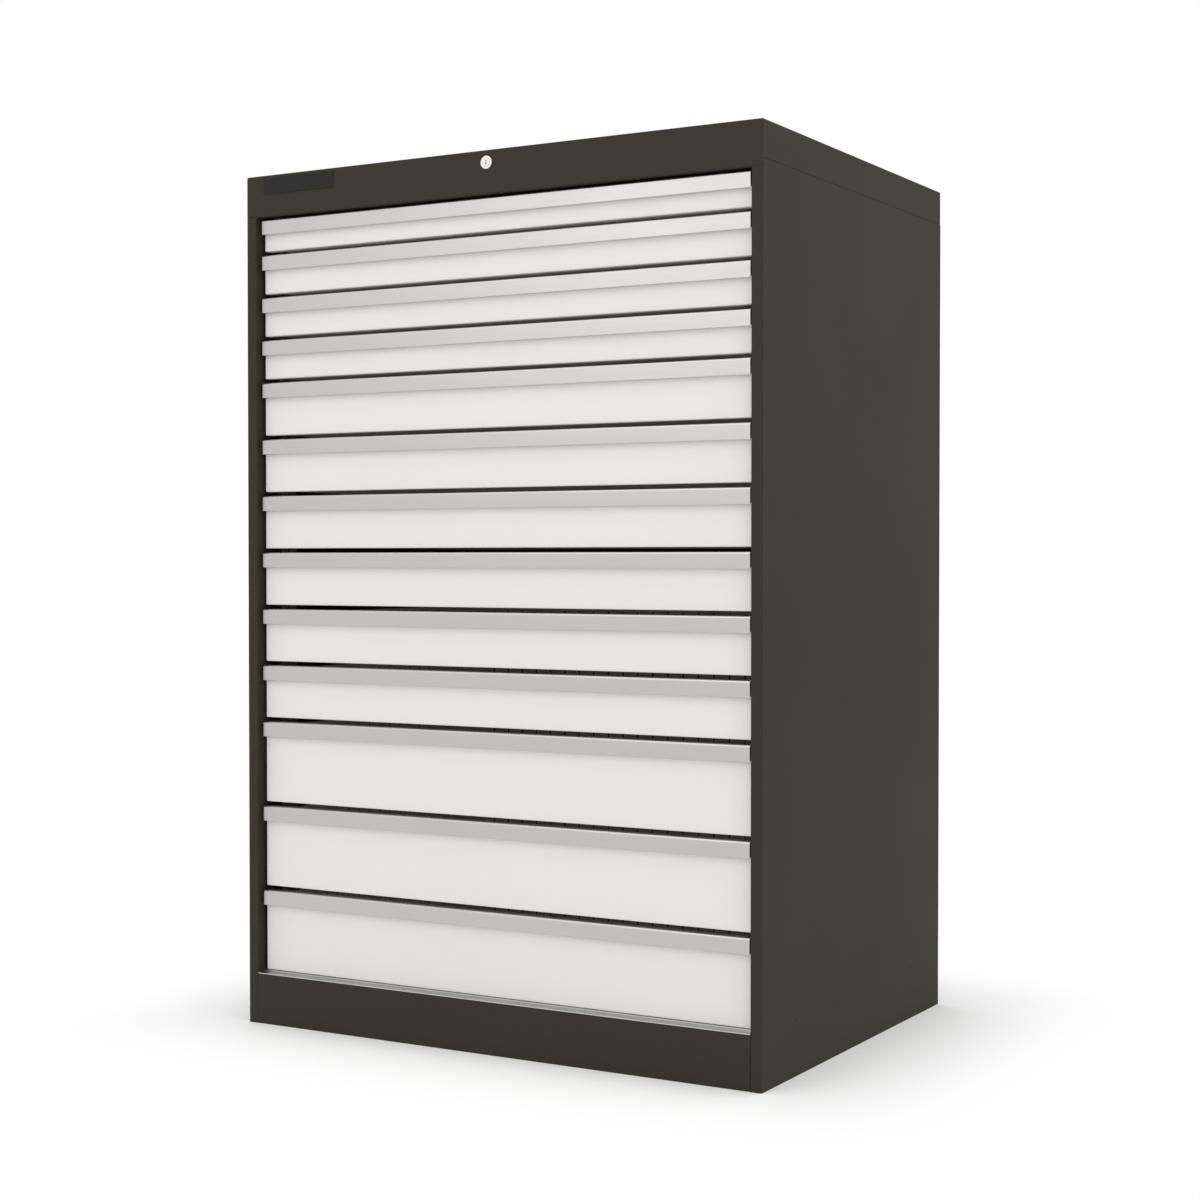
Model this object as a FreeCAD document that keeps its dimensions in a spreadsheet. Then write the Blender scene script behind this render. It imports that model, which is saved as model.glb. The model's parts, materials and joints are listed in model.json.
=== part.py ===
import FreeCAD, Part
import os
import Sketcher
from FreeCAD import Placement, Rotation, Vector

# Heavy-duty drawer cabinet, in millimetres: X to the right, Y into the cabinet, Z up. The origin is on the
# floor under the middle of the housing. Pieces that both sides have are drawn on the right and mirrored.

os.makedirs("parts", exist_ok=True)
doc = FreeCAD.newDocument("drawer_cabinet")
sheet = doc.addObject("Spreadsheet::Sheet", "dims")

SIZES = [
    ("cabinet_width", 1010, "housing, outside of one side panel to the other"),
    ("cabinet_depth", 755, "housing, front face to back face"),
    ("plinth_height", 90, "floor to the top of the base pan"),
    ("cap_height", 60, "top cap, and so the top rail"),
    ("header_gap", 12, "top drawer's space and front posts to the top of the side panels"),
    ("pitch_small", 63, "height of the space of the top drawer"),
    ("pitch_low", 75, "height of the space of each low drawer"),
    ("pitch_medium", 100, "height of the space of each medium drawer"),
    ("pitch_deep", 150, "height of the space of each deep drawer"),
    ("shell_sheet", 1.5, "sheet of the side panels, cap, back, plinth and header"),
    ("post_width", 20, "front post, seen from the front"),
    ("post_depth", 40, "front post, front to back"),
    ("fold_gap", 0.5, "between a folded edge and the wall it nearly meets"),
    ("seam_gap", 0.3, "joint line between plinth or pan and post"),
    ("rear_return", 30, "rear flange of a side panel"),
    ("top_flange", 25, "top flange of a side panel, from its outside"),
    ("cap_return", 25, "lower flange of the cap at the sides and rear"),
    ("cap_front_return", 18, "lower flange of the cap at the front"),
    ("header_depth", 98, "front face to the back of the header channel"),
    ("header_leg", 15, "height of the header channel's front leg"),
    ("header_upstand", 45, "height of the header channel's rear leg"),
    ("pan_sheet", 1.5, "base pan"),
    ("rib_setback", 1, "drawer fronts to the rib on the base pan"),
    ("rib_depth", 15, "rib on the base pan, front to back"),
    ("rib_height", 3, "rib on the base pan"),
    ("plinth_flange", 35, "upper and lower flange of the plinth front"),
    ("base_sheet", 2.5, "rails of the base frame"),
    ("base_flange", 60, "upper and lower flange of a base rail"),
    ("base_upstand", 15, "web of a side base rail above the pan"),
    ("floor_hole", 14, "diameter of a floor-fixing hole"),
    ("floor_hole_inset", 40, "floor-fixing hole from the inside of the side panel"),
    ("floor_hole_front", 90, "front floor-fixing holes from the front face"),
    ("floor_hole_rear", 90, "rear floor-fixing holes from the back face"),
    ("upright_depth", 23, "upright, side to side"),
    ("upright_width", 40, "upright, front to back"),
    ("upright_sheet", 2, "upright"),
    ("upright_setback", 66, "front upright from the front face"),
    ("slot_pitch", 25, "from one slot of an upright to the next"),
    ("slot_width", 4.4, "slot in an upright"),
    ("slot_above", 13, "slot above the middle of the rail hooked in it"),
    ("slot_below", 5.1, "slot below the middle of the rail hooked in it"),
    ("hook_width", 3, "hook of a cabinet rail, front to back"),
    ("hook_neck", 2.6, "hook's neck behind the rail"),
    ("hook_leg", 2, "thickness of the hook's leg behind the upright"),
    ("hook_drop", 6, "hook's leg below its neck"),
    ("rail_seat_gap", 0.3, "between a cabinet rail and the uprights"),
    ("rail_sheet", 2, "cabinet rails and drawer rails"),
    ("rail_inner_height", 36, "inside height of a cabinet rail and a drawer rail"),
    ("rail_setback", 64, "front end of the cabinet rails from the front face"),
    ("rail_rear_space", 61, "rear end of the cabinet rails to the back face"),
    ("member_setback", 42, "front end of the middle members from the front face"),
    ("member_web", 3, "web of a middle member"),
    ("member_flange", 9, "flange of a middle member, beside its web"),
    ("member_sheet", 2, "thickness of a middle member's flange"),
    ("member_play", 1, "middle member to the rail around it, above and below"),
    ("tip_play", 2, "middle member's flange tips to the web they face"),
    ("lip_play", 1, "rail's flange tips to the middle member's web"),
    ("slide_rise", 26, "middle of the slides above the foot of the drawer's space"),
    ("roller_play", 0.3, "roller to the flanges it runs between"),
    ("roller_width", 7, "roller"),
    ("roller_side_play", 1, "roller to the web beside it"),
    ("roller_pin", 8, "diameter of a roller's pin"),
    ("roller_fit", 0.05, "roller's bore round its pin"),
    ("bay_margin", 4, "end bay of a member beyond its roller's rail height"),
    ("buffer_length", 10, "rubber buffer, front to back"),
    ("buffer_height", 24, "rubber buffer"),
    ("buffer_gap", 2, "buffer to the closed middle member"),
    ("front_setback", 17.5, "drawer front behind the housing's front face"),
    ("front_side_gap", 6, "end of a drawer front to the post"),
    ("front_bottom_gap", 4, "drawer front above the foot of its space"),
    ("front_depth", 17.5, "drawer front, front to back"),
    ("front_sheet", 1.2, "drawer front"),
    ("front_return", 12, "rear flange round a drawer front"),
    ("handle_top_gap", 3.6, "handle below the head of the drawer's space"),
    ("handle_height", 26.4, "handle"),
    ("handle_projection", 8, "handle in front of the drawer front"),
    ("handle_plate", 2, "handle's plate over the drawer front"),
    ("handle_wall", 1.8, "handle's front and back wall"),
    ("handle_foot", 4.6, "handle's lower web above its underside"),
    ("handle_edge", 2, "radius of the handle's upper front edge"),
    ("finger_groove", 2.6, "radius of the groove under the handle"),
    ("handle_seat", 0.1, "handle to the drawer front it is riveted on"),
    ("tray_sheet", 1.2, "drawer tray"),
    ("tray_rise", 5, "underside of a tray above the foot of its space"),
    ("tray_top_gap", 9, "top of a tray below the head of its space"),
    ("tray_lip", 6, "inward lip along the top of a tray's walls"),
    ("tray_rear_space", 117.6, "back of the trays to the back face"),
    ("catch_rise", 50, "catch plate above the foot of the drawer's space"),
    ("catch_height", 10, "catch plate"),
    ("catch_sheet", 4, "catch plate, front to back"),
    ("catch_inset", 1, "catch plate short of the end of the drawer front"),
    ("tab_place", 48, "lock bar's tabs from the front face"),
    ("tab_width", 6, "lock bar's tab, front to back"),
    ("tab_sheet", 3, "lock bar's tab"),
    ("tab_engagement", 12, "tab behind which the catch plate is caught"),
    ("tab_below", 2.5, "tab below the catch plate when unlocked"),
    ("catch_play", 3, "tab to catch plate when locked"),
    ("bar_cover", 2, "lock bar outside the inner face of the post"),
    ("bar_sheet", 3, "lock bar"),
    ("bar_place", 46, "lock bar from the front face"),
    ("bar_width", 12, "lock bar, front to back"),
    ("bar_foot", 20, "foot of the lock bar above the foot of the lowest drawer's space"),
    ("bar_lift", 8, "travel of the lock bar"),
    ("bar_passage", 1.5, "lock bar to the edges of the slot it passes"),
    ("guide_play", 0.5, "lock bar or link in its guides"),
    ("guide_wall", 2, "guide round the lock bar"),
    ("guide_height", 10, "lock bar guide"),
    ("guide_rise", 5, "lock bar guide above the foot of a drawer's space"),
    ("lock_drop", 20.5, "lock below the top of the cap"),
    ("lock_flange", 22, "diameter of the lock's face"),
    ("lock_proud", 1, "lock's face in front of the cap"),
    ("lock_body", 18, "diameter of the lock housing"),
    ("lock_length", 28, "lock housing behind the front face"),
    ("lock_hole_play", 0.2, "lock housing in the cap, all round"),
    ("lock_nut", 26, "corner diameter of the lock's nut"),
    ("lock_nut_height", 4.5, "lock's nut"),
    ("barrel", 14, "diameter of the lock barrel"),
    ("barrel_fit", 0.05, "lock barrel in its housing, all round"),
    ("barrel_tail", 2, "lock barrel behind its housing"),
    ("key_slot", 1.6, "width of the key slot"),
    ("key_height", 8, "height of the key slot"),
    ("key_depth", 10, "depth of the key slot"),
    ("cam_radius", 12, "lock barrel's axis to the cam's pin"),
    ("cam_sheet", 3, "cam"),
    ("cam_edge", 6, "cam round its pin"),
    ("cam_pin", 6, "diameter of the pins of cam and lock bar"),
    ("cam_pin_end", 1, "pins of cam and lock bar beyond the link"),
    ("cam_pin_play", 0.6, "cam's pin in the link, at each side"),
    ("cam_pin_rise", 1, "cam's pin in the link, above and below"),
    ("link_place", 39.5, "lock link from the front face"),
    ("link_sheet", 3, "lock link"),
    ("link_above", 0.5, "lock link below the lock's axis"),
    ("link_height", 26, "lock link"),
    ("link_end", 10, "lock link beyond its pins"),
    ("ramp_inset", 22, "lock bar's pin inside the lock bar"),
    ("ramp_rise", 9, "lock bar's pin above the link's lower edge"),
    ("ramp_play", 0.25, "lock bar's pin in the ramp"),
    ("head_sheet", 2.5, "head plate of the lock bar"),
    ("head_edge", 6, "head plate round its pin"),
    ("head_drop", 12, "head plate below its pin"),
    ("link_guide_near", 120, "first link guide from the middle"),
    ("link_guide_far", 380, "second link guide from the middle"),
    ("link_guide_wall", 2.5, "link guide"),
    ("badge_width", 152, "bare plate at the top left"),
    ("badge_height", 28.5, "bare plate"),
    ("badge_sheet", 1, "bare plate"),
    ("badge_drop", 5, "bare plate below the top of the cap"),
    ("badge_inset", 38.2, "bare plate from the left side"),
    ("rivet_head", 6.4, "diameter of a side rivet's head"),
    ("rivet_tip", 4.4, "flat of a side rivet's head"),
    ("rivet_proud", 1, "side rivet's head"),
    ("rivet_shank", 4, "diameter of a side rivet"),
    ("rivet_rise", 1.5, "side rivets above the top of the plinth"),
    ("rivet_front", 126.6, "front side rivet from the front face"),
    ("rivet_middle", 283.1, "middle side rivet from the front face"),
    ("rivet_rear", 137.3, "rear side rivet from the back face"),
    ("hole_play", 0.1, "rivet or screw in its hole, all round"),
    ("screw_head", 8, "diameter of a panel screw's head"),
    ("screw_proud", 1.6, "panel screw's head"),
    ("screw_shank", 4, "diameter of a panel screw"),
    ("screw_length", 9, "panel screw behind its head"),
    ("screw_inset", 15, "panel screw from the edge of the back panel"),
    ("cap_screw_inset", 13, "cap screw from the side"),
    ("cap_screw_front", 150, "front cap screw from the front face"),
    ("cap_screw_rear", 150, "rear cap screw from the back face"),
]
for row, (name, value, meaning) in enumerate(SIZES, 1):
    sheet.set(f"A{row}", meaning)
    sheet.set(f"B{row}", str(value))
    sheet.setAlias(f"B{row}", name)
doc.recompute()

# The kind of each drawer, from the top down
DRAWERS = ["small"] + ["low"] * 3 + ["medium"] * 6 + ["deep"] * 3
KINDS = list(dict.fromkeys(DRAWERS))
BACK_SCREWS_PER_SIDE = 6
GUIDED_DRAWERS = (4, 7, 10, 13)

nodes = []


def size(name):
    """The number that the sheet holds under this name."""
    return float(getattr(sheet, name))


def value_of(expression):
    """The number that an expression gives with the sheet's present sizes."""
    result = sheet.evalExpression(expression)
    return float(getattr(result, "Value", result))


def behind(distance):
    """Y of a place that lies this far behind the front face."""
    return f"{distance} - dims.cabinet_depth / 2"


def from_back(distance):
    """Y of a place that lies this far in front of the back face."""
    return f"dims.cabinet_depth / 2 - ({distance})"


def place(obj, x, y, z):
    obj.setExpression("Placement.Base.x", x)
    obj.setExpression("Placement.Base.y", y)
    obj.setExpression("Placement.Base.z", z)


def block(name, x, y, z):
    """A box between three pairs of low and high expressions."""
    obj = doc.addObject("Part::Box", name)
    for side, (low, high) in zip(("Length", "Width", "Height"), (x, y, z)):
        obj.setExpression(side, f"{high} - ({low})")
    place(obj, x[0], y[0], z[0])
    return obj


TURNS = {
    "X": Rotation(Vector(0, 1, 0), 90),
    "Y": Rotation(Vector(1, 0, 0), -90),
    "Z": Rotation(),
}


def rod(name, axis, start, length, radius, tip=None):
    """A cylinder along an axis from start, an (x, y, z) of expressions. With tip, a cone to that radius."""
    obj = doc.addObject("Part::Cone" if tip else "Part::Cylinder", name)
    obj.Placement = Placement(Vector(), TURNS[axis])
    obj.setExpression("Height", length)
    if tip:
        obj.setExpression("Radius1", radius)
        obj.setExpression("Radius2", tip)
    else:
        obj.setExpression("Radius", radius)
    place(obj, *start)
    return obj


def group(name, members):
    obj = doc.addObject("Part::Compound", name)
    obj.Links = members
    return obj


def fuse(name, members):
    obj = doc.addObject("Part::MultiFuse", name)
    obj.Shapes = members
    obj.Refine = True
    return obj


def cut(name, base, tools):
    obj = doc.addObject("Part::Cut", name)
    obj.Base = base
    obj.Tool = tools[0] if len(tools) == 1 else group(f"{name}_cuts", tools)
    return obj


def mirrored(name, source):
    """The same piece on the left side."""
    obj = doc.addObject("Part::Mirroring", name)
    obj.Source = source
    obj.Normal = Vector(1, 0, 0)
    return obj


def node(obj):
    """Marks an object as a finished sub-part, whose label names its file."""
    nodes.append(obj)
    return obj


def raised(name, members, height):
    """The same pieces lifted to a height."""
    obj = group(name, members)
    obj.setExpression("Placement.Base.z", height)
    return obj


def extruded(name, plane, loops, length, start="0"):
    """A body padded from polygons, outline first and then holes. Each point is a pair of expressions."""
    body = doc.addObject("PartDesign::Body", name)
    sketch = body.newObject("Sketcher::SketchObject", f"{name}_outline")
    origin_plane = [f for f in body.Origin.OriginFeatures if f.Role == plane][0]
    sketch.AttachmentSupport = [(origin_plane, "")]
    sketch.MapMode = "FlatFace"
    sketch.setExpression("AttachmentOffset.Base.z", start)
    first = 0
    for loop in loops:
        corners = [Vector(value_of(point[0]), value_of(point[1]), 0) for point in loop]
        count = len(corners)
        for i in range(count):
            sketch.addGeometry(Part.LineSegment(corners[i], corners[(i + 1) % count]))
        for i in range(count):
            follower = first + (i + 1) % count
            sketch.addConstraint(Sketcher.Constraint("Coincident", first + i, 2, follower, 1))
        for i, point in enumerate(loop):
            for kind, expr, value in zip(("DistanceX", "DistanceY"), point, corners[i]):
                index = sketch.addConstraint(Sketcher.Constraint(kind, first + i, 1, value))
                sketch.setExpression(f"Constraints[{index}]", expr)
        first += count
    pad = body.newObject("PartDesign::Pad", f"{name}_pad")
    pad.Profile = sketch
    pad.setExpression("Length", length)
    sketch.Visibility = False
    return body


# Places across the cabinet, on the right side, from the side panel in to the tray
half_width = "dims.cabinet_width / 2"
post_inner = f"{half_width} - dims.post_width"
front_end = f"{post_inner} - dims.front_side_gap"
side_inner = f"{half_width} - dims.shell_sheet"
upright_face = f"{side_inner} - dims.upright_depth"
rail_back = f"{upright_face} - dims.rail_seat_gap"
rail_web = f"{rail_back} - dims.rail_sheet"
member_outer = f"{rail_web} - dims.tip_play"
web_outer = f"{member_outer} - dims.member_flange"
web_inner = f"{web_outer} - dims.member_web"
member_inner = f"{web_inner} - dims.member_flange"
drawer_web = f"{member_inner} - dims.tip_play"
tray_side = f"{drawer_web} - dims.rail_sheet"


def stacked(drawers):
    """Height of the top of a pile of drawer spaces on the plinth."""
    terms = [f"{drawers.count(kind)} * dims.pitch_{kind}" for kind in KINDS if kind in drawers]
    return " + ".join(["dims.plinth_height"] + terms)


# Heights: the foot of each drawer's space, from the top drawer down, and the tops of panels and cap
levels = [stacked(DRAWERS[i + 1 :]) for i in range(len(DRAWERS))]
drawers_top = stacked(DRAWERS)
panel_top = drawers_top + " + dims.header_gap"
cabinet_top = panel_top + " + dims.cap_height"
pan_under = "dims.plinth_height - dims.pan_sheet"

# Places from the front face back
rail_front = "dims.rail_setback"
rail_rear = "dims.cabinet_depth - dims.rail_rear_space"
member_rear = f"{rail_rear} - dims.buffer_length - dims.buffer_gap"
tray_front = "dims.front_setback + dims.front_depth"
tray_rear = "dims.cabinet_depth - dims.tray_rear_space"
upright_rear = f"{rail_rear} - dims.upright_width - (dims.upright_setback - dims.rail_setback)"
roller_bay = "(dims.rail_inner_height + dims.bay_margin)"

# Side panels: front post, side and rear flange of sheets that touch at the folds, and a flange for the cap
front_y = behind("0")
front_inside = f"{front_y} + dims.shell_sheet"
post_y = behind("dims.post_depth")
post_return_y = f"{post_y} - dims.shell_sheet"
post_inside = f"{post_inner} + dims.shell_sheet"
back_sheet_y = from_back("dims.shell_sheet")
rear_flange_y = from_back("2 * dims.shell_sheet")
rear_flange_x = (f"{half_width} - dims.rear_return", side_inner)
panel_faces = [
    ("side_face", (side_inner, half_width), (front_inside, back_sheet_y), panel_top),
    ("post_front", (post_inner, half_width), (front_y, front_inside), drawers_top),
    ("post_side", (post_inner, post_inside), (front_inside, post_y), drawers_top),
    ("post_return", (post_inside, f"{side_inner} - dims.fold_gap"), (post_return_y, post_y), drawers_top),
    ("rear_flange", rear_flange_x, (rear_flange_y, back_sheet_y), panel_top),
]
panel_sheets = [block(name, x, y, ("0", top)) for name, x, y, top in panel_faces]
top_flange = block(
    "top_flange",
    (f"{half_width} - dims.top_flange", side_inner),
    (behind("dims.upright_setback"), from_back("dims.rear_return + dims.fold_gap")),
    (f"{panel_top} - dims.shell_sheet", panel_top),
)

# Rivets that hold the side panels to the base frame
rivet_z = "dims.plinth_height + dims.rivet_rise"
rivet_ys = [behind("dims.rivet_front"), behind("dims.rivet_middle"), from_back("dims.rivet_rear")]
rivets, rivet_holes = [], []
for i, y in enumerate(rivet_ys, 1):
    head_start = (half_width, y, rivet_z)
    head_radii = ("dims.rivet_head / 2", "dims.rivet_tip / 2")
    head = rod(f"rivet_head_{i}", "X", head_start, "dims.rivet_proud", *head_radii)
    shank_start = (f"{side_inner} - dims.base_sheet", y, rivet_z)
    shank_length = "dims.shell_sheet + dims.base_sheet"
    shank = rod(f"rivet_shank_{i}", "X", shank_start, shank_length, "dims.rivet_shank / 2")
    rivets.append(fuse(f"rivet_{i}", [head, shank]))
    hole_radius = "dims.rivet_shank / 2 + dims.hole_play"
    rivet_holes.append(rod(f"rivet_hole_{i}", "X", shank_start, shank_length, hole_radius))
right_rivets = group("right_rivets", rivets)
node(group("side_rivets", [right_rivets, mirrored("left_rivets", right_rivets)]))

# Screws through the back panel into the side panels' rear flanges
back_screws, back_screw_holes = [], []
for i in range(BACK_SCREWS_PER_SIDE):
    x = f"{half_width} - dims.screw_inset"
    z = f"dims.plinth_height / 2 + {i} * ({panel_top} - dims.plinth_height) / {BACK_SCREWS_PER_SIDE - 1}"
    head_start = (x, from_back("0"), z)
    shank_start = (x, from_back("dims.screw_length"), z)
    head = rod(f"back_screw_head_{i}", "Y", head_start, "dims.screw_proud", "dims.screw_head / 2")
    shank = rod(f"back_screw_shank_{i}", "Y", shank_start, "dims.screw_length", "dims.screw_shank / 2")
    back_screws.append(fuse(f"back_screw_{i}", [head, shank]))
    hole_radius = "dims.screw_shank / 2 + dims.hole_play"
    back_screw_holes.append(rod(f"back_screw_hole_{i}", "Y", shank_start, "dims.screw_length", hole_radius))

# Screws that hold the cap's side flanges on the side panels' top flanges
cap_screws, cap_screw_holes = [], []
cap_screw_ys = [
    behind("dims.cap_screw_front"),
    behind("dims.cabinet_depth / 2"),
    from_back("dims.cap_screw_rear"),
]
for i, y in enumerate(cap_screw_ys, 1):
    x = f"{half_width} - dims.cap_screw_inset"
    flange_foot = f"{panel_top} - dims.shell_sheet"
    head_start = (x, y, f"{flange_foot} - dims.screw_proud")
    shank_start = (x, y, flange_foot)
    head = rod(f"cap_screw_head_{i}", "Z", head_start, "dims.screw_proud", "dims.screw_head / 2")
    shank = rod(f"cap_screw_shank_{i}", "Z", shank_start, "dims.screw_length", "dims.screw_shank / 2")
    cap_screws.append(fuse(f"cap_screw_{i}", [head, shank]))
    cap_screw_holes.append(rod(f"cap_screw_hole_{i}", "Z", shank_start, "dims.screw_length", hole_radius))
right_screws = group("right_screws", back_screws + cap_screws)
node(group("panel_screws", [right_screws, mirrored("left_screws", right_screws)]))

panel_blank = group("side_panel_blank", panel_sheets + [top_flange])
panel_tools = [group("side_holes", rivet_holes + back_screw_holes + cap_screw_holes)]
right_side_panel = node(cut("right_side_panel", panel_blank, panel_tools))
node(mirrored("left_side_panel", right_side_panel))

# Back panel, over the side panels' rear flanges
back_sheet = block(
    "back_sheet",
    (f"-{half_width}", half_width),
    (back_sheet_y, from_back("0")),
    ("0", panel_top),
)
right_back_holes = group("right_back_holes", back_screw_holes)
node(cut("back_panel", back_sheet, [right_back_holes, mirrored("left_back_holes", right_back_holes)]))

# Top cap: a lid with flanges, of sheets that touch at the folds. Its front reaches down to the front posts
cap_x = (f"-{half_width}", half_width)
inside_x = (f"-({side_inner} - dims.fold_gap)", f"{side_inner} - dims.fold_gap")
cap_flange_z = (panel_top, f"{panel_top} + dims.shell_sheet")
cap_under = f"{cabinet_top} - dims.shell_sheet"
cap_side_x = (side_inner, half_width)
cap_side_flange_x = (f"{half_width} - dims.cap_return", side_inner)
front_flange_y = (front_inside, behind("dims.cap_front_return"))
front_flange_z = (drawers_top, f"{drawers_top} + dims.shell_sheet")
cap_rear_y = from_back("dims.cap_return")
cap_sheets = [
    block("cap_top", cap_x, (front_y, from_back("0")), (cap_under, cabinet_top)),
    block("cap_front", cap_x, (front_y, front_inside), (drawers_top, cap_under)),
    block("cap_rear", cap_x, (back_sheet_y, from_back("0")), (panel_top, cap_under)),
    block("cap_front_flange", inside_x, front_flange_y, front_flange_z),
    block("cap_rear_flange", (f"-({side_inner})", side_inner), (cap_rear_y, back_sheet_y), cap_flange_z),
]
cap_side_sheets = [
    block("cap_side", cap_side_x, (front_inside, back_sheet_y), (panel_top, cap_under)),
    block("cap_side_flange", cap_side_flange_x, (front_inside, cap_rear_y), cap_flange_z),
]
cap_right = group("cap_right", cap_side_sheets)
lock_z = f"{cabinet_top} - dims.lock_drop"
lock_hole = rod(
    "lock_hole",
    "Y",
    ("0", f"{front_y} - dims.shell_sheet", lock_z),
    "3 * dims.shell_sheet",
    "dims.lock_body / 2 + dims.lock_hole_play",
)
bar_inner = f"{post_inner} + dims.bar_cover"
bar_outer = f"{bar_inner} + dims.bar_sheet"
bar_front = "dims.bar_place"
bar_rear = "dims.bar_place + dims.bar_width"
bar_slot = block(
    "bar_slot",
    (f"{bar_inner} - dims.bar_passage", f"{bar_outer} + dims.bar_passage"),
    (behind(f"{bar_front} - dims.bar_passage"), behind(f"{bar_rear} + dims.bar_passage")),
    (f"{panel_top} - dims.shell_sheet", f"{panel_top} + 3 * dims.shell_sheet"),
)
right_cap_holes = group("right_cap_holes", cap_screw_holes)
cap_blank = group("cap_blank", cap_sheets + [cap_right, mirrored("cap_left", cap_right)])
cap_tools = [lock_hole, bar_slot, right_cap_holes, mirrored("left_cap_holes", right_cap_holes)]
node(cut("top_cap", cap_blank, cap_tools))

# Header channel: lies on the cap's side flanges and carries the lock's link
header_foot = f"{panel_top} + dims.shell_sheet"
header_plate = block(
    "header_plate",
    inside_x,
    (f"{front_inside} + dims.fold_gap", behind("dims.header_depth")),
    (header_foot, f"{header_foot} + dims.shell_sheet"),
)
header_front = block(
    "header_front",
    inside_x,
    (f"{front_inside} + dims.fold_gap", f"{front_inside} + dims.shell_sheet + dims.fold_gap"),
    (header_foot, f"{header_foot} + dims.header_leg"),
)
header_rear = block(
    "header_rear",
    inside_x,
    (behind("dims.header_depth - dims.shell_sheet"), behind("dims.header_depth")),
    (header_foot, f"{header_foot} + dims.header_upstand"),
)
header_blank = fuse("header_blank", [header_plate, header_front, header_rear])
node(cut("header_channel", header_blank, [bar_slot]))

# Plinth front: a channel between the posts
plinth_top = pan_under
plinth_profile = [
    (front_y, "0"),
    (behind("dims.plinth_flange"), "0"),
    (behind("dims.plinth_flange"), "dims.shell_sheet"),
    (front_inside, "dims.shell_sheet"),
    (front_inside, f"{plinth_top} - dims.shell_sheet"),
    (behind("dims.plinth_flange"), f"{plinth_top} - dims.shell_sheet"),
    (behind("dims.plinth_flange"), plinth_top),
    (front_y, plinth_top),
]
between_posts = f"{post_inner} - dims.seam_gap"
plinth_span = (f"2 * ({between_posts})", f"-({between_posts})")
node(extruded("plinth_front", "YZ_Plane", [plinth_profile], *plinth_span))

# Base pan: narrow between the posts, wide behind them, with a rib that closes the gap under the lowest drawer
pan_side = f"{side_inner} - dims.base_sheet - dims.fold_gap"
pan_step = f"{post_y} + dims.fold_gap"
pan_rear = f"{rear_flange_y} - dims.fold_gap"
pan_profile = [
    (f"-({between_posts})", front_y),
    (between_posts, front_y),
    (between_posts, pan_step),
    (pan_side, pan_step),
    (pan_side, pan_rear),
    (f"-({pan_side})", pan_rear),
    (f"-({pan_side})", pan_step),
    (f"-({between_posts})", pan_step),
]
pan_sheet = extruded("pan_sheet", "XY_Plane", [pan_profile], "dims.pan_sheet", pan_under)
rib_front = "dims.front_setback + dims.rib_setback"
sill_rib = block(
    "sill_rib",
    (f"-({between_posts})", between_posts),
    (behind(rib_front), behind(f"{rib_front} + dims.rib_depth")),
    ("dims.plinth_height", "dims.plinth_height + dims.rib_height"),
)
node(group("base_pan", [pan_sheet, sill_rib]))

# Base frame: a channel along each side panel and one along the back
base_y = (f"{post_y} + dims.fold_gap", f"{rear_flange_y} - dims.fold_gap")
base_inner = f"{side_inner} - dims.base_flange"
side_web = block(
    "base_side_web",
    (f"{side_inner} - dims.base_sheet", side_inner),
    base_y,
    ("0", f"{pan_under} + dims.base_upstand"),
)
shelf_z = (f"{pan_under} - dims.base_sheet", pan_under)
side_shelf = block("base_side_shelf", (base_inner, side_inner), base_y, shelf_z)
side_foot = block("base_side_foot", (base_inner, side_inner), base_y, ("0", "dims.base_sheet"))
floor_x = f"{side_inner} - dims.floor_hole_inset"
floor_holes = [
    rod(name, "Z", (floor_x, y, "-dims.base_sheet"), "3 * dims.base_sheet", "dims.floor_hole / 2")
    for name, y in (
        ("floor_hole_f", behind("dims.floor_hole_front")),
        ("floor_hole_b", from_back("dims.floor_hole_rear")),
    )
]
side_rail_blank = fuse("side_rail_blank", [side_web, side_shelf, side_foot])
right_base_rail = cut("right_base_rail", side_rail_blank, floor_holes + [group("rivet_holes", rivet_holes)])
rear_x = (f"-({base_inner} - dims.fold_gap)", f"{base_inner} - dims.fold_gap")
rear_inner = f"{base_y[1]} - dims.base_flange"
rear_base_rail = fuse(
    "rear_base_rail",
    [
        block("base_rear_web", rear_x, (f"{base_y[1]} - dims.base_sheet", base_y[1]), ("0", pan_under)),
        block("base_rear_shelf", rear_x, (rear_inner, base_y[1]), shelf_z),
        block("base_rear_foot", rear_x, (rear_inner, base_y[1]), ("0", "dims.base_sheet")),
    ],
)
node(group("base_frame", [right_base_rail, mirrored("left_base_rail", right_base_rail), rear_base_rail]))

# Uprights: channels with a slot every slot_pitch above the foot of each drawer's space
upright_y = behind("dims.upright_setback")
upright_far = f"{upright_y} + dims.upright_width"
upright_profile = [
    (upright_face, upright_y),
    (side_inner, upright_y),
    (side_inner, f"{upright_y} + dims.upright_sheet"),
    (f"{upright_face} + dims.upright_sheet", f"{upright_y} + dims.upright_sheet"),
    (f"{upright_face} + dims.upright_sheet", f"{upright_far} - dims.upright_sheet"),
    (side_inner, f"{upright_far} - dims.upright_sheet"),
    (side_inner, upright_far),
    (upright_face, upright_far),
]
upright_foot = f"{pan_under} + dims.base_upstand + dims.fold_gap"
upright_top = f"{panel_top} - dims.shell_sheet - dims.fold_gap"
upright_length = f"{upright_top} - ({upright_foot})"
upright_blank = extruded("upright_blank", "XY_Plane", [upright_profile], upright_length, upright_foot)
slot_y = behind("dims.upright_setback + dims.upright_width / 2")
slots = []
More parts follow.
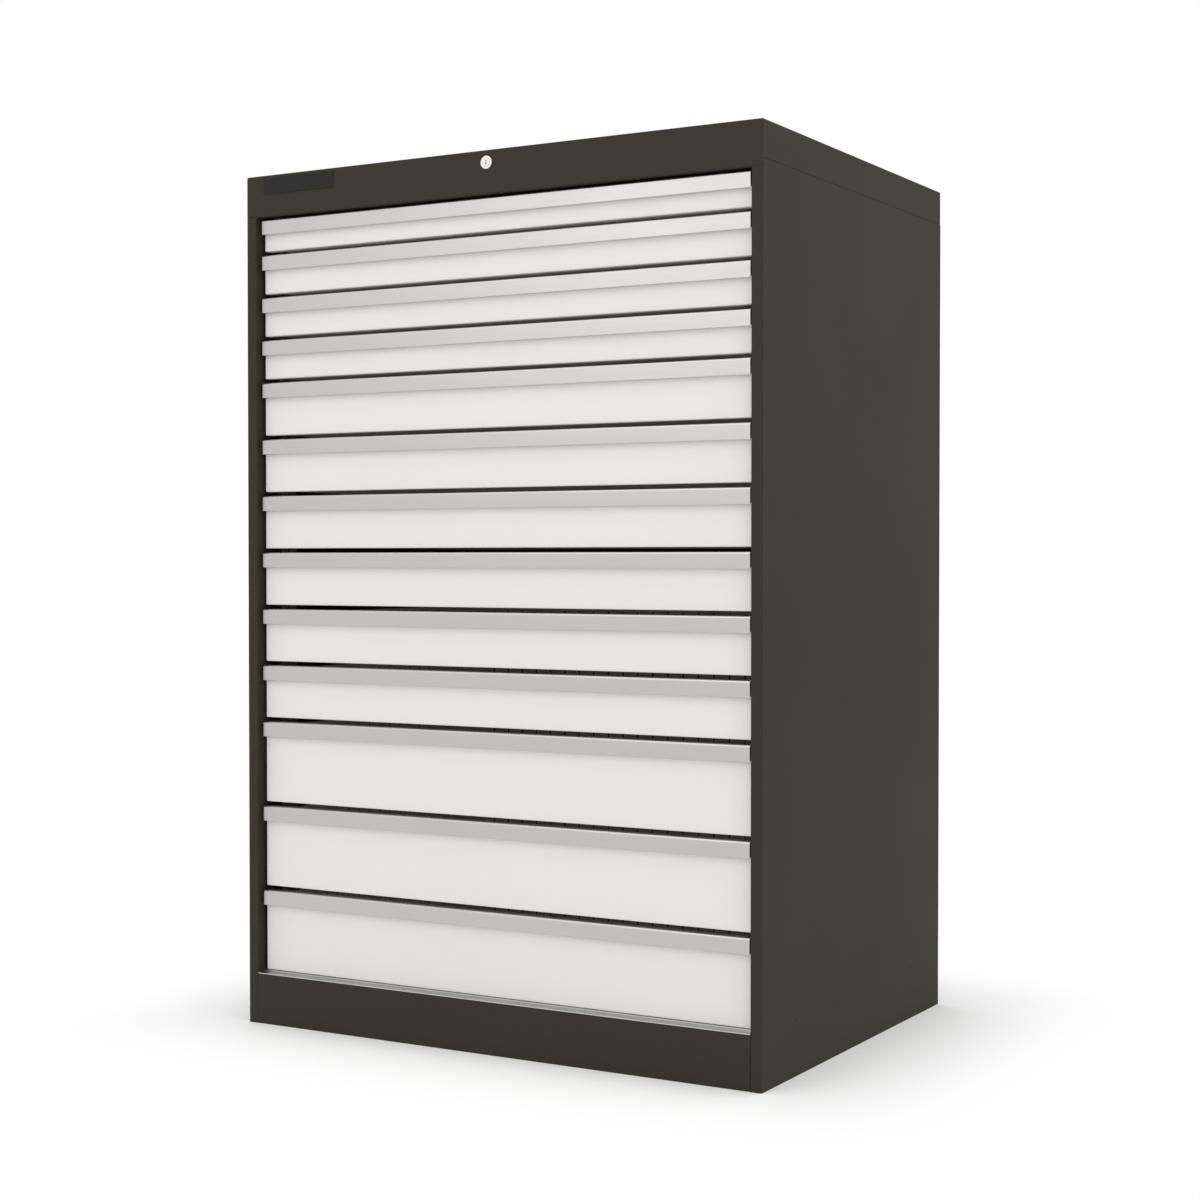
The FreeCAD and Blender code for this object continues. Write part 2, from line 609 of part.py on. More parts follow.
for number, (level, kind) in enumerate(zip(levels, DRAWERS), 1):
    for step in range(int(size(f"pitch_{kind}") // size("slot_pitch"))):
        middle = f"{level} + dims.slide_rise + {step} * dims.slot_pitch"
        slots.append(
            block(
                f"slot_{number}_{step}",
                (f"{upright_face} - dims.upright_sheet", f"{upright_face} + 2 * dims.upright_sheet"),
                (f"{slot_y} - dims.slot_width / 2", f"{slot_y} + dims.slot_width / 2"),
                (f"{middle} - dims.slot_below", f"{middle} + dims.slot_above"),
            )
        )
front_upright = cut("front_upright", upright_blank, slots)
rear_upright = group("rear_upright", [front_upright])
rear_upright.setExpression("Placement.Base.y", f"{upright_rear} - dims.upright_setback")
right_uprights = group("right_uprights", [front_upright, rear_upright])
node(group("uprights", [right_uprights, mirrored("left_uprights", right_uprights)]))

# One set of slides, drawn at the foot of its drawer's space
slide_z = "dims.slide_rise"
rail_half = "dims.rail_inner_height / 2"
member_half = f"({rail_half} - dims.member_play)"


def channel(name, web_x, x, y):
    """A rail: its web, and two flanges as wide as the whole rail."""
    outer = f"{rail_half} + dims.rail_sheet"
    return [
        block(f"{name}_web", web_x, y, (f"{slide_z} - ({outer})", f"{slide_z} + {outer}")),
        block(f"{name}_upper", x, y, (f"{slide_z} + {rail_half}", f"{slide_z} + {outer}")),
        block(f"{name}_lower", x, y, (f"{slide_z} - ({outer})", f"{slide_z} - {rail_half}")),
    ]


def roller(name, web_face, outward, y, radius):
    """A roller and its pin beside a web: outward is '+' or '-', the way from the web along X."""
    low = f"{web_face} {outward} dims.roller_side_play"
    if outward == "-":
        low = f"{low} - dims.roller_width"
    start = (low, y, slide_z)
    bore_radius = "dims.roller_pin / 2 + dims.roller_fit"
    wheel = rod(f"{name}_wheel", "X", start, "dims.roller_width", radius)
    bore = rod(f"{name}_bore", "X", start, "dims.roller_width", bore_radius)
    reach = "(dims.roller_side_play + dims.roller_width)"
    pin_start = web_face if outward == "+" else f"{web_face} - {reach}"
    pin = rod(f"{name}_pin", "X", (pin_start, y, slide_z), reach, "dims.roller_pin / 2")
    return [cut(name, wheel, [bore]), pin]


large_radius = f"{rail_half} - dims.roller_play"
small_radius = f"{member_half} - dims.member_sheet - dims.roller_play"

# Cabinet rail: opens inwards, with a hook in each upright and a roller at its front end
cabinet_rail_y = (behind(rail_front), behind(rail_rear))
rail_pieces = channel(
    "cabinet_rail", (rail_web, rail_back), (f"{web_outer} + dims.lip_play", rail_back), cabinet_rail_y
)
for name, middle in (
    ("front_hook", "dims.upright_setback + dims.upright_width / 2"),
    ("rear_hook", f"{upright_rear} + dims.upright_width / 2"),
):
    hook_y = (behind(f"{middle} - dims.hook_width / 2"), behind(f"{middle} + dims.hook_width / 2"))
    neck_end = f"{rail_back} + dims.rail_seat_gap + dims.hook_neck"
    hook_top = f"{slide_z} + dims.slot_above / 2"
    hook_foot = f"{slide_z} - dims.slot_below + dims.hole_play"
    leg_x = (neck_end, f"{neck_end} + dims.hook_leg")
    leg_z = (f"{hook_foot} - dims.hook_drop", hook_top)
    rail_pieces.append(block(f"{name}_neck", (rail_back, neck_end), hook_y, (hook_foot, hook_top)))
    rail_pieces.append(block(f"{name}_leg", leg_x, hook_y, leg_z))
right_cabinet_rail = fuse("right_cabinet_rail", rail_pieces)
left_cabinet_rail = mirrored("left_cabinet_rail", right_cabinet_rail)
cabinet_rail_pair = group("cabinet_rail_pair", [right_cabinet_rail, left_cabinet_rail])
front_roller_y = behind(f"{rail_front} + {roller_bay} / 2")
front_roller = roller("front_roller", rail_web, "-", front_roller_y, small_radius)
right_front_roller = group("right_front_roller", front_roller)
left_front_roller = mirrored("left_front_roller", right_front_roller)
front_roller_pair = group("front_roller_pair", [right_front_roller, left_front_roller])

# Rubber buffer in the back end of each cabinet rail
right_buffer = block(
    "right_buffer",
    (f"{web_outer} + dims.lip_play", rail_web),
    (behind(f"{rail_rear} - dims.buffer_length"), behind(rail_rear)),
    (f"{slide_z} - dims.buffer_height / 2", f"{slide_z} + dims.buffer_height / 2"),
)
buffer_pair = group("buffer_pair", [right_buffer, mirrored("left_buffer", right_buffer)])

for name, pair in (
    ("cabinet_rails", cabinet_rail_pair),
    ("cabinet_rollers", front_roller_pair),
    ("rear_buffers", buffer_pair),
):
    node(group(name, [raised(f"{name}_{i}", [pair], level) for i, level in enumerate(levels, 1)]))

# Middle member: a web with flanges to both sides. Each end has a bay without flanges on one side, where its
# large roller runs in the rail around it
flange_z = {
    "upper": (f"{slide_z} + {member_half} - dims.member_sheet", f"{slide_z} + {member_half}"),
    "lower": (f"{slide_z} - {member_half}", f"{slide_z} - {member_half} + dims.member_sheet"),
}
member_pieces = [
    block(
        "member_web_plate",
        (web_inner, web_outer),
        (behind("dims.member_setback"), behind(member_rear)),
        (f"{slide_z} - {member_half}", f"{slide_z} + {member_half}"),
    )
]
for name, z in flange_z.items():
    outer_y = (behind("dims.member_setback"), behind(f"{member_rear} - {roller_bay}"))
    inner_y = (behind(f"dims.member_setback + {roller_bay}"), behind(member_rear))
    member_pieces.append(block(f"member_outer_{name}", (web_inner, member_outer), outer_y, z))
    member_pieces.append(block(f"member_inner_{name}", (member_inner, web_outer), inner_y, z))
right_member = fuse("right_member", member_pieces)
member_front_y = behind(f"dims.member_setback + {roller_bay} / 2")
member_rear_y = behind(f"{member_rear} - {roller_bay} / 2")
right_slide = group(
    "right_slide",
    [right_member]
    + roller("member_front_roller", web_inner, "-", member_front_y, large_radius)
    + roller("member_rear_roller", web_outer, "+", member_rear_y, large_radius),
)
left_slide = mirrored("left_slide", right_slide)
for i, level in enumerate(levels, 1):
    node(raised(f"slides_{i:02d}", [right_slide, left_slide], level))

# Drawer rail: welded to the tray's side, opens outwards, with a roller at its back end
drawer_rail_y = (behind("dims.member_setback"), behind(tray_rear))
drawer_rail_pieces = channel(
    "drawer_rail", (tray_side, drawer_web), (tray_side, f"{web_inner} - dims.lip_play"), drawer_rail_y
)
drawer_roller_y = behind(f"{tray_rear} - {roller_bay} / 2")
drawer_roller = roller("drawer_roller", drawer_web, "+", drawer_roller_y, small_radius)
drawer_rail = fuse("drawer_rail", drawer_rail_pieces)
right_drawer_rail = group("right_drawer_rail", [drawer_rail] + drawer_roller)
left_drawer_rail = mirrored("left_drawer_rail", right_drawer_rail)

# Catch plate on the tray's right side, caught by the lock bar's tab
catch_end = f"{front_end} - dims.catch_inset"
catch_front = "dims.tab_place + dims.tab_width + dims.catch_play"
catch = block(
    "catch",
    (tray_side, catch_end),
    (behind(catch_front), behind(f"{catch_front} + dims.catch_sheet")),
    ("dims.catch_rise", "dims.catch_rise + dims.catch_height"),
)

# Trays and fronts, one pair for each kind of drawer, drawn at the foot of the drawer's space
drawer_kinds = {}
for kind in KINDS:
    tray_top = f"dims.pitch_{kind} - dims.tray_top_gap"
    tray_inside = f"{tray_side} - dims.tray_sheet"
    tray_y = (behind(tray_front), behind(tray_rear))
    hollow_y = (f"{tray_y[0]} + dims.tray_sheet", f"{tray_y[1]} - dims.tray_sheet")
    tray_skin = block(
        f"{kind}_tray_skin",
        (f"-({tray_side})", tray_side),
        tray_y,
        ("dims.tray_rise", tray_top),
    )
    tray_hollow = block(
        f"{kind}_tray_hollow",
        (f"-({tray_inside})", tray_inside),
        hollow_y,
        ("dims.tray_rise + dims.tray_sheet", f"{tray_top} - dims.tray_sheet"),
    )
    tray_mouth = block(
        f"{kind}_tray_mouth",
        (f"-({tray_inside} - dims.tray_lip)", f"{tray_inside} - dims.tray_lip"),
        (f"{hollow_y[0]} + dims.tray_lip", f"{hollow_y[1]} - dims.tray_lip"),
        (f"{tray_top} - 2 * dims.tray_sheet", f"{tray_top} + dims.tray_sheet"),
    )
    tray = cut(f"{kind}_tray", tray_skin, [fuse(f"{kind}_tray_inside", [tray_hollow, tray_mouth])])

    front_top = f"dims.pitch_{kind} - dims.handle_top_gap - dims.handle_plate - dims.handle_seat"
    front_y_pair = (behind("dims.front_setback"), behind(tray_front))
    front_skin = block(
        f"{kind}_front_skin",
        (f"-({front_end})", front_end),
        front_y_pair,
        ("dims.front_bottom_gap", front_top),
    )
    front_hollow = block(
        f"{kind}_front_hollow",
        (f"-({front_end} - dims.front_sheet)", f"{front_end} - dims.front_sheet"),
        (f"{front_y_pair[0]} + dims.front_sheet", f"{front_y_pair[1]} - dims.front_sheet"),
        ("dims.front_bottom_gap + dims.front_sheet", f"{front_top} - dims.front_sheet"),
    )
    front_mouth = block(
        f"{kind}_front_mouth",
        (f"-({front_end} - dims.front_return)", f"{front_end} - dims.front_return"),
        (f"{front_y_pair[1]} - 2 * dims.front_sheet", f"{front_y_pair[1]} + dims.front_sheet"),
        ("dims.front_bottom_gap + dims.front_return", f"{front_top} - dims.front_return"),
    )
    front = cut(f"{kind}_front", front_skin, [fuse(f"{kind}_front_inside", [front_hollow, front_mouth])])
    drawer_kinds[kind] = [tray, front, right_drawer_rail, left_drawer_rail, catch]

for i, (level, kind) in enumerate(zip(levels, DRAWERS), 1):
    node(raised(f"drawer_{i:02d}", drawer_kinds[kind], level))

# Handle: a hollow aluminium section under a plate that lies on the drawer front, drawn under the head of
# the drawer's space. A groove along its foot gives the fingers a hold
handle_face = "dims.front_setback - dims.handle_projection"
handle_back = "dims.front_setback - dims.handle_seat"
handle_top = "-dims.handle_top_gap"
handle_foot = f"{handle_top} - dims.handle_height"
plate_foot = f"{handle_top} - dims.handle_plate"
handle_outline = [
    (behind(handle_face), handle_foot),
    (behind(handle_back), handle_foot),
    (behind(handle_back), plate_foot),
    (behind(tray_front), plate_foot),
    (behind(tray_front), handle_top),
    (behind(handle_face), handle_top),
]
handle_hollow = [
    (behind(f"{handle_face} + dims.handle_wall"), f"{handle_foot} + dims.handle_foot"),
    (behind(f"{handle_back} - dims.handle_wall"), f"{handle_foot} + dims.handle_foot"),
    (behind(f"{handle_back} - dims.handle_wall"), plate_foot),
    (behind(f"{handle_face} + dims.handle_wall"), plate_foot),
]
handle_length = f"2 * ({front_end})"
handle_loops = [handle_outline, handle_hollow]
handle_section = extruded("handle_section", "YZ_Plane", handle_loops, handle_length, f"-({front_end})")
doc.recompute()
section_pad = handle_section.Tip
edge_y = value_of(behind(handle_face))
edge_z = value_of(handle_top)
front_edges = [
    f"Edge{number}"
    for number, edge in enumerate(section_pad.Shape.Edges, 1)
    if edge.Length > size("cabinet_width") / 2
    and abs(edge.CenterOfMass.y - edge_y) < size("fold_gap") / 2
    and abs(edge.CenterOfMass.z - edge_z) < size("fold_gap") / 2
]
rounding = handle_section.newObject("PartDesign::Fillet", "handle_rounding")
rounding.Base = (section_pad, front_edges)
rounding.setExpression("Radius", "dims.handle_edge")
handle_section.Tip = rounding
groove_y = behind(f"({handle_face} + {handle_back}) / 2")
groove_start = (f"-({front_end})", groove_y, handle_foot)
groove = rod("finger_groove", "X", groove_start, handle_length, "dims.finger_groove")
handle = cut("handle", handle_section, [groove])
for i, (level, kind) in enumerate(zip(levels, DRAWERS), 1):
    node(raised(f"handle_{i:02d}", [handle], f"{level} + dims.pitch_{kind}"))


def band(name, start, end, radius, y):
    """An upright plate with two round ends: start and end are (x, z) pairs, y is (low, high)."""
    dx, dz = (f"({high} - ({low}))" for low, high in zip(start, end))
    length = f"sqrt({dx} * {dx} + {dz} * {dz})"
    side_x, side_z = f"{dz} / {length} * ({radius})", f"{dx} / {length} * ({radius})"
    corners = [
        (f"{start[0]} - {side_x}", f"{start[1]} + {side_z}"),
        (f"{start[0]} + {side_x}", f"{start[1]} - {side_z}"),
        (f"{end[0]} + {side_x}", f"{end[1]} - {side_z}"),
        (f"{end[0]} - {side_x}", f"{end[1]} + {side_z}"),
    ]
    thickness = f"{y[1]} - ({y[0]})"
    middle = extruded(f"{name}_middle", "XZ_Plane", [corners], thickness, f"-({y[1]})")
    first_end = rod(f"{name}_start", "Y", (start[0], y[0], start[1]), thickness, radius)
    second_end = rod(f"{name}_end", "Y", (end[0], y[0], end[1]), thickness, radius)
    return fuse(name, [middle, first_end, second_end])


# Lock: housing with a face flange and a nut, barrel with a key slot, and cam
face_y = f"{front_y} - dims.lock_proud"
face_centre = ("0", face_y, lock_z)
housing_length = "dims.lock_proud + dims.lock_length"
barrel_length = f"{housing_length} + dims.barrel_tail"
housing_face = rod("housing_face", "Y", face_centre, "dims.lock_proud", "dims.lock_flange / 2")
housing_tube = rod("housing_tube", "Y", face_centre, housing_length, "dims.lock_body / 2")
housing_blank = fuse("housing_blank", [housing_face, housing_tube])
housing_bore = rod("housing_bore", "Y", face_centre, barrel_length, "dims.barrel / 2 + dims.barrel_fit")
lock_case = cut("lock_case", housing_blank, [housing_bore])
nut_blank = doc.addObject("Part::Prism", "nut_blank")
nut_blank.Polygon = 6
nut_blank.Placement = Placement(Vector(), TURNS["Y"])
nut_blank.setExpression("Circumradius", "dims.lock_nut / 2")
nut_blank.setExpression("Height", "dims.lock_nut_height")
nut_y = front_inside
place(nut_blank, "0", nut_y, lock_z)
nut_radius = "dims.lock_body / 2 + dims.hole_play"
nut_bore = rod("nut_bore", "Y", ("0", nut_y, lock_z), "dims.lock_nut_height", nut_radius)
lock_nut = cut("lock_nut", nut_blank, [nut_bore])
node(group("lock_housing", [lock_case, lock_nut]))

barrel_blank = rod("barrel_blank", "Y", face_centre, barrel_length, "dims.barrel / 2")
key_slot = block(
    "key_slot",
    ("-dims.key_slot / 2", "dims.key_slot / 2"),
    (f"{face_y} - dims.key_slot", f"{face_y} + dims.key_depth"),
    (f"{lock_z} - dims.key_height / 2", f"{lock_z} + dims.key_height / 2"),
)
node(cut("lock_barrel", barrel_blank, [key_slot]))

# The cam's pin hangs below the barrel's axis, an eighth of a turn to the left, and swings a quarter turn
swing = "dims.cam_radius * sqrt(0.5)"
pin_x, pin_z = f"-{swing}", f"{lock_z} - {swing}"
link_y = (behind("dims.link_place"), behind("dims.link_place + dims.link_sheet"))
cam_y = (f"{face_y} + {barrel_length}", f"{face_y} + {barrel_length} + dims.cam_sheet")
cam_plate = band("cam_plate", ("0", lock_z), (pin_x, pin_z), "dims.cam_edge", cam_y)
cam_pin_length = f"{link_y[1]} + dims.cam_pin_end - ({cam_y[0]})"
cam_pin = rod("cam_pin", "Y", (pin_x, cam_y[0], pin_z), cam_pin_length, "dims.cam_pin / 2")
node(fuse("lock_cam", [cam_plate, cam_pin]))

# Lock link: a flat bar with an upright slot for the cam's pin and a ramp that lifts the lock bar
link_top = f"{lock_z} - dims.link_above"
link_foot = f"{link_top} - dims.link_height"
bar_pin_x = f"{bar_inner} - dims.ramp_inset"
bar_pin_z = f"{link_foot} + dims.ramp_rise"
link_x = (f"-({swing} + dims.link_end)", f"{bar_pin_x} + dims.link_end")
link_blank = block("link_blank", link_x, link_y, (link_foot, link_top))
through_y = (f"{link_y[0]} - dims.link_sheet", f"{link_y[1]} + dims.link_sheet")
cam_slot = band(
    "cam_slot",
    (pin_x, f"{lock_z} - dims.cam_radius - dims.cam_pin_rise"),
    (pin_x, f"{pin_z} + dims.cam_pin_rise"),
    "dims.cam_pin / 2 + dims.cam_pin_play",
    through_y,
)
ramp_end = (f"{bar_pin_x} - 2 * {swing}", f"{bar_pin_z} + dims.bar_lift")
ramp = band("ramp", (bar_pin_x, bar_pin_z), ramp_end, "dims.cam_pin / 2 + dims.ramp_play", through_y)
node(cut("lock_link", link_blank, [cam_slot, ramp]))

# Lock bar: a strip behind the right post, a head plate with its pin in the ramp, and a tab for each drawer
bar_y = (behind(bar_front), behind(bar_rear))
head_y = (f"{bar_y[0]} - dims.head_sheet", bar_y[0])
head_foot = f"{bar_pin_z} - dims.head_drop"
head_top = f"{bar_pin_z} + dims.head_edge + dims.cam_pin / 2"
bar_bottom = f"{levels[-1]} + dims.bar_foot"
pin_start = (bar_pin_x, f"{link_y[0]} - dims.cam_pin_end", bar_pin_z)
pin_length = f"{head_y[0]} - ({pin_start[1]})"
bar_pieces = [
    block("bar_strip", (bar_inner, bar_outer), bar_y, (bar_bottom, head_top)),
    block("bar_head", (f"{bar_pin_x} - dims.head_edge", bar_outer), head_y, (head_foot, head_top)),
    rod("bar_pin", "Y", pin_start, pin_length, "dims.cam_pin / 2"),
]
tab_top = "dims.catch_rise - dims.tab_below"
tab = block(
    "tab",
    (f"{catch_end} - dims.tab_engagement", bar_inner),
    (behind("dims.tab_place"), behind("dims.tab_place + dims.tab_width")),
    (f"{tab_top} - dims.tab_sheet", tab_top),
)
bar_pieces += [raised(f"tab_{i}", [tab], level) for i, level in enumerate(levels, 1)]
node(group("lock_bar", bar_pieces))

# Guides: boxes round the lock bar on the front right upright, a stop under it, and two round the link
guide_edge = "(dims.guide_play + dims.guide_wall)"
guide_x = (f"{bar_inner} - {guide_edge}", f"{bar_outer} + {guide_edge}")
guide_y = (f"{bar_y[0]} - {guide_edge}", upright_y)
guides = []
for number in GUIDED_DRAWERS:
    foot = f"{levels[number - 1]} + dims.guide_rise"
    if number == len(levels):
        foot = f"{bar_bottom} + dims.guide_rise"
    around = block(f"guide_{number}", guide_x, guide_y, (foot, f"{foot} + dims.guide_height"))
    passage = block(
        f"guide_passage_{number}",
        (f"{bar_inner} - dims.guide_play", f"{bar_outer} + dims.guide_play"),
        (f"{bar_y[0]} - dims.guide_play", f"{bar_y[1]} + dims.guide_play"),
        (f"{foot} - dims.guide_wall", f"{foot} + dims.guide_height + dims.guide_wall"),
    )
    guides.append(cut(f"bar_guide_{number}", around, [passage]))
stop_top = f"{bar_bottom} - dims.hole_play"
guides.append(block("bar_stop", guide_x, guide_y, (f"{stop_top} - dims.guide_wall", stop_top)))
link_edge = "(dims.guide_play + dims.link_guide_wall)"
for name in ("link_guide_near", "link_guide_far"):
    guide_span = (f"dims.{name} - dims.guide_height / 2", f"dims.{name} + dims.guide_height / 2")
    around = block(
        f"{name}_block",
        guide_span,
        (f"{link_y[0]} - {link_edge}", f"{link_y[1]} + {link_edge}"),
        (f"{header_foot} + dims.shell_sheet", f"{link_top} + {link_edge}"),
    )
    passage = block(
        f"{name}_passage",
        (f"{guide_span[0]} - dims.guide_wall", f"{guide_span[1]} + dims.guide_wall"),
        (f"{link_y[0]} - dims.guide_play", f"{link_y[1]} + dims.guide_play"),
        (f"{link_foot} - dims.guide_play", f"{link_top} + dims.guide_play"),
    )
    guides.append(cut(name, around, [passage]))
node(group("lock_guides", guides))

# Bare plate at the top left of the cap
badge_left = f"-({half_width} - dims.badge_inset)"
badge_top = f"{cabinet_top} - dims.badge_drop"
node(
    block(
        "badge_plate",
        (badge_left, f"{badge_left} + dims.badge_width"),
        (f"{front_y} - dims.badge_sheet", front_y),
        (f"{badge_top} - dims.badge_height", badge_top),
    )
)

doc.recompute()
for obj in doc.Objects:
    if "Invalid" in obj.State or "Error" in obj.State:
        raise RuntimeError(f"{obj.Name} could not be built: {obj.State}")
for obj in nodes:
    if obj.Shape.isNull() or not obj.Shape.isValid():
        raise RuntimeError(f"{obj.Label} has no valid shape")
for obj in nodes:
    obj.Shape.exportStep(f"parts/{obj.Label}.step")
print(len(nodes), "sub-parts,", sum(len(obj.Shape.Solids) for obj in nodes), "solids")
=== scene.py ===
"""Looks of a heavy-duty drawer cabinet: folded sheet steel, thirteen drawers on roller slides, and a lock."""

import json
import math

import bmesh
import bpy
import numpy as np
from bpy.props import FloatProperty, FloatVectorProperty, PointerProperty
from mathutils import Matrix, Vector
from mathutils.geometry import tessellate_polygon

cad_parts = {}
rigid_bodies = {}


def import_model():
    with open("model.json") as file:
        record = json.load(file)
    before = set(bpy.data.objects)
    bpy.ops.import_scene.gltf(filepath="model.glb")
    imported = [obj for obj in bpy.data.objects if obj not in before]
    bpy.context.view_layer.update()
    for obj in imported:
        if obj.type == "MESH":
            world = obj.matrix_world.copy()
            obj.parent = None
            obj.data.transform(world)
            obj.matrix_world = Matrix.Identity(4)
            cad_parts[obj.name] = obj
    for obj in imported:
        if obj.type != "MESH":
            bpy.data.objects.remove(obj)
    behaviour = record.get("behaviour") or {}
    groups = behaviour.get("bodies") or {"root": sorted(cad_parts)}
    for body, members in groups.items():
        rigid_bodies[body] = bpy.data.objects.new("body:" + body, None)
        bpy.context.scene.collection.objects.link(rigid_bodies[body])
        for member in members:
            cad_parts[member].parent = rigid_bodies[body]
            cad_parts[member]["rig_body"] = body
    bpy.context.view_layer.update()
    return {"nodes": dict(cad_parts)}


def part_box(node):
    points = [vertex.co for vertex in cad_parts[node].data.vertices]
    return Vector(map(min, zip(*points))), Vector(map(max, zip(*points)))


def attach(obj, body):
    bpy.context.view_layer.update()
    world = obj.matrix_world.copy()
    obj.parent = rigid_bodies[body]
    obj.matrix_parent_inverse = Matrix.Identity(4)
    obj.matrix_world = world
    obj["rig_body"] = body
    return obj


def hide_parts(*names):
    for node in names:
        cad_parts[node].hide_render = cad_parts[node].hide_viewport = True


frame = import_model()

bl_info = {
    "name": "Drawer Cabinet",
    "version": (1, 0, 0),
    "blender": (4, 5, 0),
    "location": "View3D > Sidebar > Cabinet",
    "description": "Dresses the packed drawer cabinet with folded sheet, slides, handles and finishes",
    "category": "Object",
}


def linear(hex_value):
    """The linear red, green and blue of an sRGB hex value."""
    srgb = np.array([int(hex_value[i : i + 2], 16) for i in (0, 2, 4)]) / 255
    return tuple(np.where(srgb <= 0.04045, srgb / 12.92, ((srgb + 0.055) / 1.055) ** 2.4))


def millimetres(name, description, default):
    """A length that a user may change, held in metres."""
    return FloatProperty(name=name, description=description, default=default / 1000, min=0, unit="LENGTH")


def colour(name, description, hex_value):
    return FloatVectorProperty(
        name=name, description=description, default=linear(hex_value), min=0, max=1, subtype="COLOR"
    )


class CabinetSizes(bpy.types.PropertyGroup):
    shell_sheet: millimetres("Housing sheet", "Sheet of the side panels, cap and plinth", 1.5)
    shell_bend: millimetres("Housing bend", "Outer radius of the housing's folds", 1.8)
    front_sheet: millimetres("Front sheet", "Sheet of the drawer fronts and trays", 1.2)
    front_bend: millimetres("Front bend", "Outer radius of the drawer fronts' folds", 2.0)
    tray_bend: millimetres("Tray bend", "Outer radius of the trays' folds", 2.4)
    tray_lip: millimetres("Tray lip", "Inward lip round the top of a tray", 6.0)
    slit_pitch: millimetres("Slit pitch", "From one divider slit of a tray to the next", 33.0)
    slit_width: millimetres("Slit width", "Divider slit in a tray", 3.0)
    rail_sheet: millimetres("Rail sheet", "Sheet of the drawer and cabinet rails", 2.0)
    edge: millimetres("Edge", "Rounding of cut sheet edges and machined corners", 0.3)
    handle_wall: millimetres("Handle wall", "Wall of the handle section", 1.8)


class CabinetColours(bpy.types.PropertyGroup):
    shell: colour("Housing", "Powder coat of the housing", "36342b")
    front: colour("Drawers", "Powder coat of the drawers", "e4e3df")
    handle: colour("Handles", "Anodised aluminium of the handles", "c5c3c0")
    zinc: colour("Zinc", "Zinc plate of the slides, pan and lock parts", "c3c3c0")
    roller: colour("Rollers", "Ground steel of the rollers", "b9b9bb")
    lock: colour("Lock", "Nickel plate of the lock", "d4d3d0")
    plate: colour("Bare plate", "Plate at the top left", "0b0b0c")
    rubber: colour("Rubber", "Buffers behind the slides", "161616")


class CabinetStage(bpy.types.PropertyGroup):
    camera_place: FloatVectorProperty(
        name="Camera place",
        description="Where the camera stands",
        default=(1.8955, -3.2851, 0.8250),
        subtype="TRANSLATION",
        unit="LENGTH",
    )
    camera_turn: FloatVectorProperty(
        name="Camera turn",
        description="How the camera is turned",
        default=tuple(math.radians(a) for a in (88.8812, 0, 29.9987)),
        subtype="EULER",
        unit="ROTATION",
    )
    lens: FloatProperty(name="Lens", description="Focal length in millimetres", default=62.78, min=1)
    room_light: FloatProperty(name="Room light", description="Even light from all round", default=0.85, min=0)
    key_light: FloatProperty(name="Key light", description="Softbox at the front left", default=0.8, min=0)
    top_light: FloatProperty(name="Top light", description="Softbox overhead", default=0.70, min=0)
    side_light: FloatProperty(name="Side light", description="Warm softbox at the right", default=0.25, min=0)
    low_light: FloatProperty(name="Low light", description="Shadowless light from below", default=0.14, min=0)


# Shapes: points in millimetres, and arrays of faces with as many columns as each face has corners

FOLD_STEPS = 4  # Facets round a fold
NEAR = 0.1  # How far a box that picks faces reaches past them


def node_box(name):
    """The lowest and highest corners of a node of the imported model, in millimetres."""
    low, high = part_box(name)
    return np.array(low) * 1000, np.array(high) * 1000


def placed(axis, across, up, along):
    """Points from two coordinates across an axis and one along it."""
    across, up, along = np.broadcast_arrays(across, up, along)
    order = {"X": (along, across, up), "Y": (across, along, up), "Z": (across, up, along)}[axis]
    return np.stack(order, axis=-1).astype(float)


def grid_faces(rows, columns, closed=False):
    """The quads between the rows and columns of a grid. The last column of a closed one meets its first."""
    index = np.arange(rows * columns).reshape(rows, columns)
    if closed:
        index = np.hstack([index, index[:, :1]])
    corners = index[:-1, :-1], index[:-1, 1:], index[1:, 1:], index[1:, :-1]
    return np.stack(corners, axis=-1).reshape(-1, 4)


def flipped(shape):
    """The shape with every face turned over."""
    points, faces = shape
    return points, [array[:, ::-1] for array in faces]


def mirrored(shape):
    """The shape on the left side: every x changes its sign, and every face its order."""
    points, faces = flipped(shape)
    return points * (-1, 1, 1), faces


def both_sides(shape):
    """The shape and its mirror image in one."""
    return joined(shape, mirrored(shape))


def joined(*shapes):
    """All shapes in one, with each one's points counted on from those before it."""
    points, faces, start = [], [], 0
    for shape_points, shape_faces in shapes:
        points.append(shape_points)
        faces += [array + start for array in shape_faces]
        start += len(shape_points)
    return np.concatenate(points), faces


def copies(shape, offsets):
    """The shape once at each offset: point = shape's point + offset."""
    points, faces = shape
    offsets = np.atleast_2d(offsets)
    starts = np.arange(len(offsets)) * len(points)
    moved = (points[None] + offsets[:, None]).reshape(-1, 3)
    return moved, [(array[None] + starts[:, None, None]).reshape(-1, array.shape[1]) for array in faces]


def punched(shape, boxes):
    """The shape without the faces whose middle lies in one of the boxes, given as (low, high) corners."""
    points, faces = shape
    low, high = np.array(boxes, float).transpose(1, 0, 2)
    kept = []
    for array in faces:
        middle = points[array].mean(axis=1)[:, None]
        inside = ((middle > low) & (middle < high)).all(axis=2).any(axis=1)
        kept.append(array[~inside])
    return points, kept


